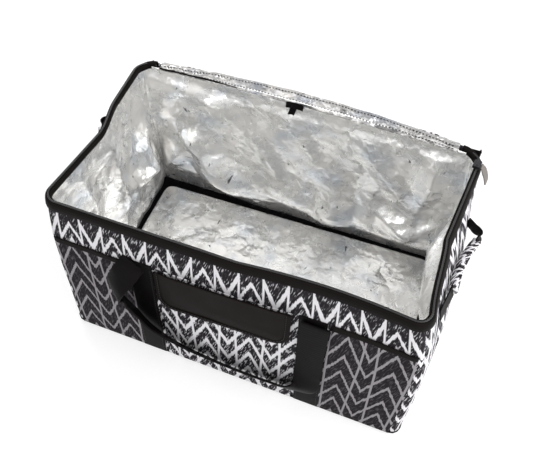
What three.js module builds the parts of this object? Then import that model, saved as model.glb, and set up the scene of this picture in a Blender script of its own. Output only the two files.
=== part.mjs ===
// Large insulated tote bag with a zip lid: open, with the lid hanging behind it.
// Millimetres, +Z up. The front faces -Y and the long side runs along X.
// The origin is the centre of the base, on the surface that the bag stands on.

import * as THREE from "three";

// Driving dimensions of the soft box
const RIM_LENGTH = 430;
const RIM_DEPTH = 242;
const BASE_LENGTH = 450;
const BASE_DEPTH = 268;
const WALL_TOP = 246;
const RIM_CORNER_R = 14;
const BASE_CORNER_R = 17;
const CORNER_BULGE = 6;
const BULGE_HEIGHT = 0.65;
const SIDE_BULGE = 6;
const GUSSET_DEPTH = 8;
const GUSSET_START = 0.6;
const GUSSET_Y = -12;

// Layers of the wall, as distances inward from the outer face
const GAP = 0.3;
const CLOTH = 1.2;
const FOAM = 4.5;
const FOIL = 0.9;
const FOAM_FACE = CLOTH + GAP;
const FOIL_FACE = FOAM_FACE + FOAM + GAP;
const WALL = FOIL_FACE + FOIL;

// Base layers and the loose board
const BASE_INSET = WALL + 2.5;
const BASE_FOAM = 21;
const BASE_FOAM_Z = CLOTH + GAP;
const BASE_LINING_Z = BASE_FOAM_Z + BASE_FOAM + GAP;
const BOARD_Z = BASE_LINING_Z + FOIL + GAP;
const BOARD_THICKNESS = 4;
const BOARD_LENGTH = 412;
const BOARD_DEPTH = 238;
const BOARD_X = 4;
const BOARD_Y = -5;
const BOARD_CORNER_R = 16;
const BINDING = 5;

// Rim zip
const TAPE = 1.2;
const TAPE_DROP = 11;
const TAPE_GAP = 0.8;
const COIL_WIDTH = 2.4;
const COIL_HEIGHT = 2.4;
const COIL_IN = 0.6;
const ZIP_BACK_END = 192;
const TAPE_TOP = WALL_TOP + GAP + TAPE;
const COIL_TOP = TAPE_TOP + GAP + COIL_HEIGHT;
const SLIDER_LENGTH = 11;
const SLIDER_WALL = 1.6;
const SLIDER_CLEAR = 0.5;
const SLIDER_Y = 101;
const PULL_WIDTH = 11;
const PULL_LENGTH = 25;
const PULL_THICKNESS = 1.4;
const PULL_TILT = THREE.MathUtils.degToRad(28);

// Lid, described closed and then hung behind the bag
const LID_AXIS_Y = 131;
const LID_AXIS_Z = 258;
const LID_HANG = 8;
const LID_SWING = 270 - LID_HANG;
const LID_COIL_Z = 253.2;
const LID_TAPE_WIDTH = 12;
const LID_TAPE_Z = LID_COIL_Z + COIL_HEIGHT + GAP;
const LID_FOAM_Z = LID_TAPE_Z + TAPE + GAP;
const LID_CLOTH_Z = LID_FOAM_Z + FOAM + GAP;
const HINGE_STRIP_HALF = 188;
const HINGE_STRIP = 1.2;
const LID_BAND_MIN_R = 1;

// Webbing, handles and straps
const WEBBING = 32;
const WEBBING_THICKNESS = 2;
const SEWN_THICKNESS = 1.6;
const STRAP_X = 101;
const SEAM_Z = 193;
const STRAP_FOOT_Z = 2.5;
const HANDLE_OUT = GAP + SEWN_THICKNESS + GAP + WEBBING_THICKNESS / 2;
const BACK_HANDLE_DROP = 150;
const BACK_HANDLE_TURN = 42;
const HANDLE_BELOW_SEAM = 3;

// Front pockets
const POCKET_CLOTH = 1.2;
const POCKET_GAP = 0.5;
const POCKET_FOOT_Z = 3;
const POCKET_HEM = 2;
const POCKET_SIDE = 204;
const STRAP_EDGE = WEBBING / 2 + 2 * GAP;
const POCKET_BINDING = 6;
const FLAP_HALF = 83;
const FLAP_HEIGHT = 66;
const FLAP_CORNER_R = 22;
const FLAP_THICKNESS = 3.5;
const FLAP_OUT = 4.7;
const PATCH_LENGTH = 60;
const PATCH_HEIGHT = 20;
const PATCH_Z = 137;
const PATCH_THICKNESS = 1;

// Side grab handles
const GRAB_TAB_BACK = 52;
const GRAB_TAB_FRONT = -80;
const GRAB_Z = 210;
const GRAB_TUBE_R = 5.5;
const GRAB_TAB_WIDTH = 22;

// Small tee tab on the back rim
const TEE_X = -12;
const TEE_WIDTH = 21;
const TEE_STEM = 9;
const TEE_HEIGHT = 22;
const TEE_BAR = 8;

// How finely curves are cut
const LEVELS = 6;
const ARC_STEPS = 3;
const ROUND_STEPS = 4;
const SIDE_STEPS = 10;
const HANDLE_STEPS = 36;
const TAB_STEPS = 4;
const GRAB_STEPS = 10;
const GRAB_SIDES = 10;
const SEAM_ANGLE = THREE.MathUtils.degToRad(0.7);

const MATERIALS = {
  print: new THREE.MeshStandardMaterial({ color: 0x4a464b, roughness: 0.85 }),
  mesh: new THREE.MeshStandardMaterial({ color: 0x2f2c30, roughness: 0.9 }),
  foil: new THREE.MeshStandardMaterial({ color: 0xc4c2bf, roughness: 0.35, metalness: 0.8 }),
  foam: new THREE.MeshStandardMaterial({ color: 0xe8e6e0, roughness: 0.95 }),
  webbing: new THREE.MeshStandardMaterial({ color: 0x262526, roughness: 0.7 }),
  flap: new THREE.MeshStandardMaterial({ color: 0x2c2a29, roughness: 0.75 }),
  tape: new THREE.MeshStandardMaterial({ color: 0x1f1e1f, roughness: 0.8 }),
  coil: new THREE.MeshStandardMaterial({ color: 0x18181a, roughness: 0.4 }),
  metal: new THREE.MeshStandardMaterial({ color: 0x3a3a3d, roughness: 0.35, metalness: 0.9 }),
  pull: new THREE.MeshStandardMaterial({ color: 0x77726e, roughness: 0.8 }),
};

const { lerp, clamp, smoothstep, degToRad } = THREE.MathUtils;
const bag = new THREE.Group();

// Adds a named mesh to a group.
function addPiece(group, name, geometry, material) {
  const mesh = new THREE.Mesh(geometry, material);
  mesh.name = name;
  group.add(mesh);
}

// Makes a closed geometry from triangles of points, turned so that its faces point out.
function solidFrom(triangles) {
  let volume = 0;
  for (const [a, b, c] of triangles) {
    volume += a.dot(new THREE.Vector3().crossVectors(b, c));
  }
  const positions = [];
  for (const [a, b, c] of triangles) {
    const corners = volume > 0 ? [a, b, c] : [a, c, b];
    corners.forEach((p) => positions.push(p.x, p.y, p.z));
  }
  const geometry = new THREE.BufferGeometry();
  geometry.setAttribute("position", new THREE.Float32BufferAttribute(positions, 3));
  return geometry;
}

// Closes two matching grids of points, an outer and an inner one, into a curved slab.
function slab(outer, inner) {
  const triangles = [];
  const rows = outer.length;
  const columns = outer[0].length;
  const quad = (a, b, c, d) => triangles.push([a, b, c], [a, c, d]);
  for (let i = 0; i + 1 < rows; i += 1) {
    for (let j = 0; j + 1 < columns; j += 1) {
      quad(outer[i][j], outer[i][j + 1], outer[i + 1][j + 1], outer[i + 1][j]);
      quad(inner[i][j], inner[i + 1][j], inner[i + 1][j + 1], inner[i][j + 1]);
    }
  }
  for (let i = 0; i + 1 < rows; i += 1) {
    const end = columns - 1;
    quad(outer[i][0], outer[i + 1][0], inner[i + 1][0], inner[i][0]);
    quad(outer[i + 1][end], outer[i][end], inner[i][end], inner[i + 1][end]);
  }
  for (let j = 0; j + 1 < columns; j += 1) {
    const end = rows - 1;
    quad(outer[0][j + 1], outer[0][j], inner[0][j], inner[0][j + 1]);
    quad(outer[end][j], outer[end][j + 1], inner[end][j + 1], inner[end][j]);
  }
  return solidFrom(triangles);
}

// Joins rings of points, each drawn from one flat profile, into a solid with closed ends.
function loft(rings, profile) {
  const triangles = [];
  const count = profile.length;
  for (let i = 0; i + 1 < rings.length; i += 1) {
    for (let j = 0; j < count; j += 1) {
      const k = (j + 1) % count;
      triangles.push([rings[i][j], rings[i][k], rings[i + 1][k]]);
      triangles.push([rings[i][j], rings[i + 1][k], rings[i + 1][j]]);
    }
  }
  const first = rings[0];
  const last = rings[rings.length - 1];
  const anticlockwise = THREE.ShapeUtils.area(profile) > 0;
  for (const [a, b, c] of THREE.ShapeUtils.triangulateShape(profile, [])) {
    const caps = anticlockwise ? [a, c, b] : [a, b, c];
    triangles.push(caps.map((n) => first[n]));
    triangles.push(caps.toReversed().map((n) => last[n]));
  }
  return solidFrom(triangles);
}

// Extrudes a flat shape upward between two heights.
function plate(shape, low, high) {
  const geometry = new THREE.ExtrudeGeometry(shape, {
    depth: high - low,
    bevelEnabled: false,
    curveSegments: ROUND_STEPS,
  });
  return geometry.translate(0, 0, low);
}

// Rectangle with round corners, centred on the origin.
function roundedRectangle(length, depth, radius) {
  const a = length / 2;
  const b = depth / 2;
  const shape = new THREE.Shape();
  shape.moveTo(a - radius, -b);
  shape.absarc(a - radius, -b + radius, radius, -Math.PI / 2, 0);
  shape.absarc(a - radius, b - radius, radius, 0, Math.PI / 2);
  shape.absarc(-a + radius, b - radius, radius, Math.PI / 2, Math.PI);
  shape.absarc(-a + radius, -b + radius, radius, Math.PI, Math.PI * 1.5);
  return shape;
}

// The soft box: its plan at a height fraction h, inset by d from the outer face

function heightFraction(z) {
  return clamp(z / WALL_TOP, 0, 1);
}

// Bulge of the walls, 0 at the base and the rim and 1 at its fullest height.
function swell(h) {
  const q = h ** (Math.log(0.5) / Math.log(BULGE_HEIGHT));
  return 4 * q * (1 - q);
}

function halfLength(h) {
  return lerp(BASE_LENGTH, RIM_LENGTH, h) / 2 + CORNER_BULGE * swell(h);
}

function halfDepth(h) {
  return lerp(BASE_DEPTH, RIM_DEPTH, h) / 2;
}

function cornerRadius(h) {
  return lerp(BASE_CORNER_R, RIM_CORNER_R, h);
}

// How far a side wall stands out of its straight line: full below, pinched in towards the rim.
function sideStandOut(y, h) {
  const span = halfDepth(h) - cornerRadius(h);
  const reach = y < GUSSET_Y ? span + GUSSET_Y : span - GUSSET_Y;
  const t = clamp(Math.abs(y - GUSSET_Y) / reach, 0, 1);
  const pinch = GUSSET_DEPTH * smoothstep(h, GUSSET_START, 1) * (1 - t);
  return SIDE_BULGE * swell(h) * (1 - t * t) - pinch;
}

const FRONT = 0;
const RIGHT = 1;
const BACK = 2;
const LEFT = 3;
const CORNERS = [
  [-1, -1],
  [1, -1],
  [1, 1],
  [-1, 1],
];

// Plan of one panel, anticlockwise, from the middle of one corner to the middle of the next.
function panelPlan(side, h, d, seam = 0) {
  const a = halfLength(h) - d;
  const b = halfDepth(h) - d;
  const r = cornerRadius(h) - d;
  const facing = (side - 1) * (Math.PI / 2);
  const arc = ([sx, sy], from, to) => {
    const points = [];
    for (let i = 0; i <= ARC_STEPS; i += 1) {
      const angle = lerp(from, to, i / ARC_STEPS);
      points.push([sx * (a - r) + r * Math.cos(angle), sy * (b - r) + r * Math.sin(angle)]);
    }
    return points;
  };
  const straight = [];
  if (side === RIGHT || side === LEFT) {
    const sign = side === RIGHT ? 1 : -1;
    for (let i = 1; i < SIDE_STEPS; i += 1) {
      const y = sign * lerp(-(b - r), b - r, i / SIDE_STEPS);
      straight.push([sign * (a + sideStandOut(y, h)), y]);
    }
  }
  return [
    ...arc(CORNERS[side], facing - Math.PI / 4 + seam, facing),
    ...straight,
    ...arc(CORNERS[(side + 1) % 4], facing, facing + Math.PI / 4 - seam),
  ];
}

// One layer of one wall, with a level where the rim tape ends.
function wallLayer(side, near, far) {
  const heights = [WALL_TOP];
  for (let i = 0; i <= LEVELS; i += 1) {
    heights.unshift(lerp(WALL_TOP - TAPE_DROP, BASE_FOAM_Z, i / LEVELS));
  }
  const grids = [near, far].map((d) => heights.map((z) => {
    const plan = panelPlan(side, heightFraction(z), d, SEAM_ANGLE);
    return plan.map(([x, y]) => new THREE.Vector3(x, y, z));
  }));
  return slab(grids[0], grids[1]);
}

// Point on the front wall (sign -1) or the back wall (sign 1), standing out by a distance.
function facePoint(sign, x, z, out) {
  return new THREE.Vector3(x, sign * (halfDepth(heightFraction(z)) + out), z);
}

// Flat patch on the front or back wall.
function facePatch(sign, [x0, x1], [z0, z1], [out0, out1]) {
  const grid = (out) => [z0, z1].map((z) => [x0, x1].map((x) => facePoint(sign, x, z, out)));
  return slab(grid(out1), grid(out0));
}

// Strap with a flat section along control points, each with its place and width direction.
function ribbon(controls, width, thickness, steps) {
  const centres = new THREE.CatmullRomCurve3(controls.map((c) => c.at), false, "centripetal");
  const widths = controls.map((c) => c.across);
  const profile = [
    [-width / 2, -thickness / 2],
    [width / 2, -thickness / 2],
    [width / 2, thickness / 2],
    [-width / 2, thickness / 2],
  ].map(([u, v]) => new THREE.Vector2(u, v));
  const rings = [];
  for (let i = 0; i <= steps; i += 1) {
    const t = i / steps;
    const centre = centres.getPoint(t);
    const along = centres.getTangent(t);
    const place = t * (controls.length - 1);
    const n = Math.min(Math.floor(place), controls.length - 2);
    const across = widths[n].clone().lerp(widths[n + 1], place - n);
    across.addScaledVector(along, -across.dot(along)).normalize();
    const normal = new THREE.Vector3().crossVectors(along, across);
    rings.push(profile.map(({ x: u, y: v }) =>
      centre.clone().addScaledVector(across, u).addScaledVector(normal, v)));
  }
  return loft(rings, profile);
}

// Walls, foam and lining
const SIDES = [
  ["front", FRONT],
  ["right", RIGHT],
  ["back", BACK],
  ["left", LEFT],
];
for (const [name, side] of SIDES) {
  addPiece(bag, `${name}_panel`, wallLayer(side, 0, CLOTH), MATERIALS.print);
  addPiece(bag, `foam_${name}`, wallLayer(side, FOAM_FACE, FOAM_FACE + FOAM), MATERIALS.foam);
  addPiece(bag, `lining_${name}`, wallLayer(side, FOIL_FACE, WALL), MATERIALS.foil);
}

// Base: cloth, foam, lining, and the board that lies on them
function basePlate(inset, low, thickness) {
  const shape = roundedRectangle(
    BASE_LENGTH - 2 * inset,
    BASE_DEPTH - 2 * inset,
    BASE_CORNER_R - inset,
  );
  return plate(shape, low, low + thickness);
}
addPiece(bag, "base_panel", basePlate(0, 0, CLOTH), MATERIALS.tape);
addPiece(bag, "foam_base", basePlate(BASE_INSET, BASE_FOAM_Z, BASE_FOAM), MATERIALS.foam);
addPiece(bag, "lining_base", basePlate(BASE_INSET, BASE_LINING_Z, FOIL), MATERIALS.tape);

const boardCore = roundedRectangle(
  BOARD_LENGTH - 2 * (BINDING + GAP),
  BOARD_DEPTH - 2 * (BINDING + GAP),
  BOARD_CORNER_R - BINDING - GAP,
);
const boardBinding = roundedRectangle(BOARD_LENGTH, BOARD_DEPTH, BOARD_CORNER_R);
boardBinding.holes.push(roundedRectangle(
  BOARD_LENGTH - 2 * BINDING,
  BOARD_DEPTH - 2 * BINDING,
  BOARD_CORNER_R - BINDING,
));
const board = new THREE.Group();
board.position.set(BOARD_X, BOARD_Y, BOARD_Z);
addPiece(board, "base_board", plate(boardCore, 0, BOARD_THICKNESS), MATERIALS.foil);
addPiece(board, "base_board_binding", plate(boardBinding, 0, BOARD_THICKNESS), MATERIALS.tape);
bag.add(board);

// Rim zip: a tape folded over the rim on three sides, with the coil on its outer edge

// Plan of the rim, from the back left, round the left, front and right, to the back right.
function rimPlan(h, d) {
  const y = halfDepth(h) - d;
  const middle = ARC_STEPS + 1;
  const back = panelPlan(BACK, h, d);
  return [
    [-ZIP_BACK_END, y],
    ...back.slice(middle, -1),
    ...panelPlan(LEFT, h, d).slice(0, -1),
    ...panelPlan(FRONT, h, d).slice(0, -1),
    ...panelPlan(RIGHT, h, d).slice(0, -1),
    ...back.slice(0, middle),
    [ZIP_BACK_END, y],
  ];
}

// Sweeps a section, given as inset and height, along the rim.
function alongRim(section) {
  const profile = section.map(([d, z]) => new THREE.Vector2(d, z));
  const plans = section.map(([d, z]) => rimPlan(heightFraction(z), d));
  const rings = plans[0].map((_, i) =>
    section.map(([, z], j) => new THREE.Vector3(plans[j][i][0], plans[j][i][1], z)));
  return loft(rings, profile);
}

const rimTape = [
  [-TAPE_GAP - TAPE, WALL_TOP - TAPE_DROP],
  [-TAPE_GAP, WALL_TOP - TAPE_DROP],
  [-TAPE_GAP, WALL_TOP + GAP],
  [WALL + TAPE_GAP, WALL_TOP + GAP],
  [WALL + TAPE_GAP, WALL_TOP - TAPE_DROP],
  [WALL + TAPE_GAP + TAPE, WALL_TOP - TAPE_DROP],
  [WALL + TAPE_GAP + TAPE, TAPE_TOP],
  [-TAPE_GAP - TAPE, TAPE_TOP],
];
addPiece(bag, "rim_zip_tape", alongRim(rimTape), MATERIALS.tape);

const rimCoil = [
  [COIL_IN, TAPE_TOP + GAP],
  [COIL_IN + COIL_WIDTH, TAPE_TOP + GAP],
  [COIL_IN + COIL_WIDTH, COIL_TOP],
  [COIL_IN, COIL_TOP],
];
addPiece(bag, "rim_zip_coil", alongRim(rimCoil), MATERIALS.coil);

// Zip slider astride the coil at the back right, with its pull hanging outside
function zipSlider() {
  const slider = new THREE.Group();
  const coilX = halfLength(1) + sideStandOut(SLIDER_Y, 1) - COIL_IN - COIL_WIDTH / 2;
  slider.position.set(coilX, SLIDER_Y, TAPE_TOP + GAP);
  slider.rotation.z = -Math.atan2(GUSSET_DEPTH, halfDepth(1) - cornerRadius(1) - GUSSET_Y);
  const inside = COIL_WIDTH / 2 + SLIDER_CLEAR;
  const outside = inside + SLIDER_WALL;
  const top = COIL_HEIGHT + SLIDER_CLEAR;
  const section = [
    [-outside, GAP],
    [-inside, GAP],
    [-inside, top],
    [inside, top],
    [inside, GAP],
    [outside, GAP],
    [outside, top + SLIDER_WALL],
    [-outside, top + SLIDER_WALL],
  ].map(([x, z]) => new THREE.Vector2(x, z));
  const rings = [-SLIDER_LENGTH / 2, SLIDER_LENGTH / 2].map((y) =>
    section.map((p) => new THREE.Vector3(p.x, y, p.y)));
  addPiece(slider, "zip_slider", loft(rings, section), MATERIALS.metal);

  const pull = new THREE.Group();
  pull.position.set(outside + GAP + PULL_THICKNESS, 0, top);
  pull.rotation.y = -PULL_TILT;
  const tongue = roundedRectangle(PULL_WIDTH, PULL_LENGTH, PULL_WIDTH / 4);
  const shape = plate(tongue, -PULL_THICKNESS / 2, PULL_THICKNESS / 2);
  shape.rotateX(Math.PI / 2);
  shape.rotateZ(Math.PI / 2);
  shape.translate(0, 0, -PULL_LENGTH / 2);
  addPiece(pull, "zip_pull", shape, MATERIALS.pull);
  slider.add(pull);
  return slider;
}

bag.add(zipSlider());

// Lid, with its layers drawn closed about the hinge line and then turned down behind the bag
const lid = new THREE.Group();
lid.position.set(0, LID_AXIS_Y, LID_AXIS_Z);
lid.rotation.x = -degToRad(LID_SWING);
bag.add(lid);

function addLidPiece(name, shape, low, thickness, material) {
  const geometry = plate(shape, low, low + thickness);
  addPiece(lid, name, geometry.translate(0, -LID_AXIS_Y, -LID_AXIS_Z), material);
}

// Band round three sides of the lid, open along the hinge.
function lidBand(inset, width) {
  const a = RIM_LENGTH / 2 - inset;
  const b = RIM_DEPTH / 2 - inset;
  const r = RIM_CORNER_R - inset;
  const inner = Math.max(r - width, LID_BAND_MIN_R);
  const back = RIM_DEPTH / 2;
  const shape = new THREE.Shape();
  shape.moveTo(-a, back);
  shape.absarc(-a + r, -b + r, r, Math.PI, Math.PI * 1.5);
  shape.absarc(a - r, -b + r, r, Math.PI * 1.5, Math.PI * 2);
  shape.lineTo(a, back);
  shape.lineTo(a - width, back);
  shape.absarc(a - width - inner, -b + width + inner, inner, 0, -Math.PI / 2, true);
  shape.absarc(-a + width + inner, -b + width + inner, inner, -Math.PI / 2, -Math.PI, true);
  shape.lineTo(-a + width, back);
  return shape;
}

const lidShape = roundedRectangle(RIM_LENGTH, RIM_DEPTH, RIM_CORNER_R);
const lidInside = roundedRectangle(
  RIM_LENGTH - 2 * (LID_TAPE_WIDTH + GAP),
  RIM_DEPTH - 2 * (LID_TAPE_WIDTH + GAP),
  RIM_CORNER_R,
);
addLidPiece("lid_panel", lidShape, LID_CLOTH_Z, CLOTH, MATERIALS.print);
addLidPiece("lid_foam", lidShape, LID_FOAM_Z, FOAM, MATERIALS.foam);
addLidPiece("lid_lining", lidInside, LID_TAPE_Z, FOIL, MATERIALS.foil);
addLidPiece("lid_zip_tape", lidBand(0, LID_TAPE_WIDTH), LID_TAPE_Z, TAPE, MATERIALS.tape);
addLidPiece("lid_zip_coil", lidBand(COIL_IN, COIL_WIDTH), LID_COIL_Z, COIL_HEIGHT, MATERIALS.coil);

// Cloth strip that carries the lid, from the back rim up to the hinge line
const stripFoot = halfDepth(1) - WALL / 2;
const stripSection = [
  [stripFoot, WALL_TOP + GAP],
  [stripFoot + HINGE_STRIP * 2, WALL_TOP + GAP],
  [LID_AXIS_Y, LID_AXIS_Z - HINGE_STRIP],
  [LID_AXIS_Y - HINGE_STRIP, LID_AXIS_Z],
].map(([y, z]) => new THREE.Vector2(y, z));
const stripRings = [-HINGE_STRIP_HALF, HINGE_STRIP_HALF].map((x) =>
  stripSection.map((p) => new THREE.Vector3(x, p.x, p.y)));
addPiece(bag, "lid_hinge_strip", loft(stripRings, stripSection), MATERIALS.foil);

// Tee-shaped webbing tab on the inside of the back rim
const tee = new THREE.Shape();
tee.moveTo(-TEE_STEM / 2, -TEE_HEIGHT);
tee.lineTo(TEE_STEM / 2, -TEE_HEIGHT);
tee.lineTo(TEE_STEM / 2, -TEE_BAR);
tee.lineTo(TEE_WIDTH / 2, -TEE_BAR);
tee.lineTo(TEE_WIDTH / 2, 0);
tee.lineTo(-TEE_WIDTH / 2, 0);
tee.lineTo(-TEE_WIDTH / 2, -TEE_BAR);
tee.lineTo(-TEE_STEM / 2, -TEE_BAR);
const teeTab = plate(tee, 0, SEWN_THICKNESS);
teeTab.rotateX(Math.PI / 2);
teeTab.rotateX(Math.atan2((BASE_DEPTH - RIM_DEPTH) / 2, WALL_TOP));
teeTab.translate(TEE_X, halfDepth(1) - WALL - GAP, WALL_TOP);
addPiece(bag, "rim_tab", teeTab, MATERIALS.webbing);

// Webbing sewn down the front and the back
const sewn = [GAP, GAP + SEWN_THICKNESS];
for (const [face, faceSign] of [["front", -1], ["back", 1]]) {
  for (const [name, sign] of [["left", -1], ["right", 1]]) {
    const across = [sign * STRAP_X - WEBBING / 2, sign * STRAP_X + WEBBING / 2];
    const patch = facePatch(faceSign, across, [STRAP_FOOT_Z, SEAM_Z], sewn);
    addPiece(bag, `${face}_strap_${name}`, patch, MATERIALS.webbing);
  }
}

// Front handle: out of the left seam, twisted over, round below and up flat to the right seam
const frontHandle = [
  { x: -103, out: HANDLE_OUT + 3, z: 188, across: [1, 0, 0] },
  { x: -107, out: 11, z: 178, across: [0.97, -0.1, 0.2] },
  { x: -118, out: 19, z: 164, across: [0.9, -0.3, 0.3] },
  { x: -127, out: 25, z: 146, across: [0.8, -0.45, 0.4] },
  { x: -125, out: 25, z: 116, across: [0.8, -0.45, 0.4] },
  { x: -107, out: 22, z: 84, across: [0.74, -0.46, 0.49] },
  { x: -78, out: 19, z: 56, across: [0.55, -0.42, 0.72] },
  { x: -38, out: 17, z: 37, across: [0.3, -0.34, 0.88] },
  { x: 12, out: 16, z: 27, across: [0.1, -0.3, 0.94] },
  { x: 56, out: 17, z: 24, across: [-0.1, -0.3, 0.94] },
  { x: 86, out: 17, z: 29, across: [-0.4, -0.28, 0.85] },
  { x: 102, out: 14, z: 48, across: [-0.9, -0.15, 0.3] },
  { x: STRAP_X + 1, out: HANDLE_OUT + 2, z: 84, across: [-1, 0, 0] },
  { x: STRAP_X, out: HANDLE_OUT, z: 130, across: [-1, 0, 0] },
  { x: STRAP_X, out: HANDLE_OUT, z: 190, across: [-1, 0, 0] },
].map(({ x, out, z, across }) => ({
  at: facePoint(-1, x, z, out),
  across: new THREE.Vector3(...across),
}));
const frontLoop = ribbon(frontHandle, WEBBING, WEBBING_THICKNESS, HANDLE_STEPS);
addPiece(bag, "front_handle", frontLoop, MATERIALS.webbing);

// Back handle: an even loop that hangs flat between the back wall and the lid
const turnX = STRAP_X - BACK_HANDLE_TURN;
const turnZ = SEAM_Z - BACK_HANDLE_DROP + BACK_HANDLE_TURN;
const backHandle = [
  [STRAP_X, SEAM_Z - HANDLE_BELOW_SEAM, 180],
  [STRAP_X, (SEAM_Z + turnZ) / 2, 180],
];
for (const angle of [180, 210, 240, 270]) {
  const around = degToRad(angle);
  backHandle.push([
    turnX - BACK_HANDLE_TURN * Math.cos(around),
    turnZ + BACK_HANDLE_TURN * Math.sin(around),
    angle,
  ]);
}
backHandle.push([0, SEAM_Z - BACK_HANDLE_DROP, 270]);
for (const [x, z, angle] of backHandle.slice(0, -1).toReversed()) {
  backHandle.push([-x, z, 540 - angle]);
}
const backControls = backHandle.map(([x, z, angle]) => {
  const at = facePoint(1, x, z, HANDLE_OUT);
  const turn = degToRad(angle);
  const beside = facePoint(1, x + Math.cos(turn), z - Math.sin(turn), HANDLE_OUT);
  return { at, across: beside.sub(at) };
});
const backLoop = ribbon(backControls, WEBBING, WEBBING_THICKNESS, HANDLE_STEPS);
addPiece(bag, "back_handle", backLoop, MATERIALS.webbing);

// Mesh pockets with bound tops, either side of the straps
const pocketOut = [POCKET_GAP, POCKET_GAP + POCKET_CLOTH];
const pocketTop = SEAM_Z - POCKET_BINDING / 2;
for (const [name, sign] of [["left", -1], ["right", 1]]) {
  const ends = [sign * (STRAP_X + STRAP_EDGE), sign * POCKET_SIDE].toSorted((p, q) => p - q);
  const pocket = facePatch(-1, ends, [POCKET_FOOT_Z, pocketTop], pocketOut);
  addPiece(bag, `mesh_pocket_${name}`, pocket, MATERIALS.mesh);
  const bindingZ = [pocketTop + GAP, pocketTop + GAP + POCKET_BINDING];
  const binding = facePatch(-1, ends, bindingZ, [GAP, GAP + SEWN_THICKNESS]);
  addPiece(bag, `pocket_binding_${name}`, binding, MATERIALS.tape);
}

// Centre pocket, its flap, and the hook and loop that hold the flap down
const pocketHalf = STRAP_X - STRAP_EDGE;
const centreZ = [POCKET_FOOT_Z, SEAM_Z - POCKET_HEM];
const centre = facePatch(-1, [-pocketHalf, pocketHalf], centreZ, pocketOut);
addPiece(bag, "centre_pocket", centre, MATERIALS.print);

const patchX = [-PATCH_LENGTH / 2, PATCH_LENGTH / 2];
const patchZ = [PATCH_Z, PATCH_Z + PATCH_HEIGHT];
const loopOut = POCKET_GAP + POCKET_CLOTH + GAP;
const hookOut = loopOut + PATCH_THICKNESS + GAP;
const loopPatch = facePatch(-1, patchX, patchZ, [loopOut, loopOut + PATCH_THICKNESS]);
const hookPatch = facePatch(-1, patchX, patchZ, [hookOut, hookOut + PATCH_THICKNESS]);
addPiece(bag, "pocket_loop_patch", loopPatch, MATERIALS.tape);
addPiece(bag, "flap_hook_patch", hookPatch, MATERIALS.tape);

const flapShape = new THREE.Shape();
flapShape.moveTo(-FLAP_HALF, 0);
flapShape.absarc(-FLAP_HALF + FLAP_CORNER_R, -FLAP_HEIGHT + FLAP_CORNER_R, FLAP_CORNER_R,
  Math.PI, Math.PI * 1.5);
flapShape.absarc(FLAP_HALF - FLAP_CORNER_R, -FLAP_HEIGHT + FLAP_CORNER_R, FLAP_CORNER_R,
  Math.PI * 1.5, Math.PI * 2);
flapShape.lineTo(FLAP_HALF, 0);
const flap = plate(flapShape, 0, FLAP_THICKNESS);
flap.rotateX(Math.PI / 2);
flap.rotateX(-Math.atan2((BASE_DEPTH - RIM_DEPTH) / 2, WALL_TOP));
const flapTop = facePoint(-1, 0, SEAM_Z, FLAP_OUT);
addPiece(bag, "pocket_flap", flap.translate(0, flapTop.y, flapTop.z), MATERIALS.flap);

// Side grab handles: the back tab stands out, the front one lies on the wall, a tube joins them
function sidePoint(sign, y, z, out) {
  const h = heightFraction(z);
  return new THREE.Vector3(sign * (halfLength(h) + sideStandOut(y, h) + out), y, z);
}

// Direction up the side wall at a place.
function upSide(sign, y, z) {
  return sidePoint(sign, y, z + 1, 0).sub(sidePoint(sign, y, z - 1, 0));
}

const grabRoute = [
  { y: 36, out: 15.5, z: 200 },
  { y: 23, out: 9.6, z: 197 },
  { y: 5, out: 7, z: 200 },
  { y: -14, out: 6.6, z: 206 },
  { y: -31, out: 6.6, z: 210 },
  { y: -46, out: 6.6, z: 211 },
];
const backTabRoute = [
  { y: GRAB_TAB_BACK, out: 3.6, z: GRAB_Z },
  { y: GRAB_TAB_BACK - 5, out: 9, z: GRAB_Z - 2 },
  { y: GRAB_TAB_BACK - 10, out: 17.5, z: GRAB_Z - 6 },
];
const frontTabRoute = [
  { y: GRAB_TAB_FRONT, out: 1.8, z: GRAB_Z },
  { y: GRAB_TAB_FRONT + 14, out: 3.5, z: GRAB_Z },
  { y: GRAB_TAB_FRONT + 26, out: 5.5, z: GRAB_Z },
];
const grabSection = new THREE.Shape().absarc(0, 0, GRAB_TUBE_R, 0, Math.PI * 2);
for (const [name, sign] of [["left", -1], ["right", 1]]) {
  const path = new THREE.CatmullRomCurve3(
    grabRoute.map(({ y, out, z }) => sidePoint(sign, y, z, out)),
  );
  const tube = new THREE.ExtrudeGeometry(grabSection, {
    extrudePath: path,
    steps: GRAB_STEPS,
    curveSegments: GRAB_SIDES,
  });
  addPiece(bag, `grab_handle_${name}`, tube, MATERIALS.print);
  for (const [end, route] of [["back", backTabRoute], ["front", frontTabRoute]]) {
    const controls = route.map(({ y, out, z }) => ({
      at: sidePoint(sign, y, z, out),
      across: upSide(sign, y, z),
    }));
    const tab = ribbon(controls, GRAB_TAB_WIDTH, SEWN_THICKNESS, TAB_STEPS);
    addPiece(bag, `grab_tab_${name}_${end}`, tab, MATERIALS.webbing);
  }
}

export default bag;
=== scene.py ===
"""Dresses an open insulated tote: printed cloth, foil lining, webbing, pockets and a zip lid.

Sizes are in millimetres, as in the solids, and turn to metres where a mesh is made.
"""

import logging
import math
from dataclasses import dataclass, field
from enum import Enum
from typing import Callable, Sequence

import bmesh
import bpy
from mathutils import Matrix, Vector, noise

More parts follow.
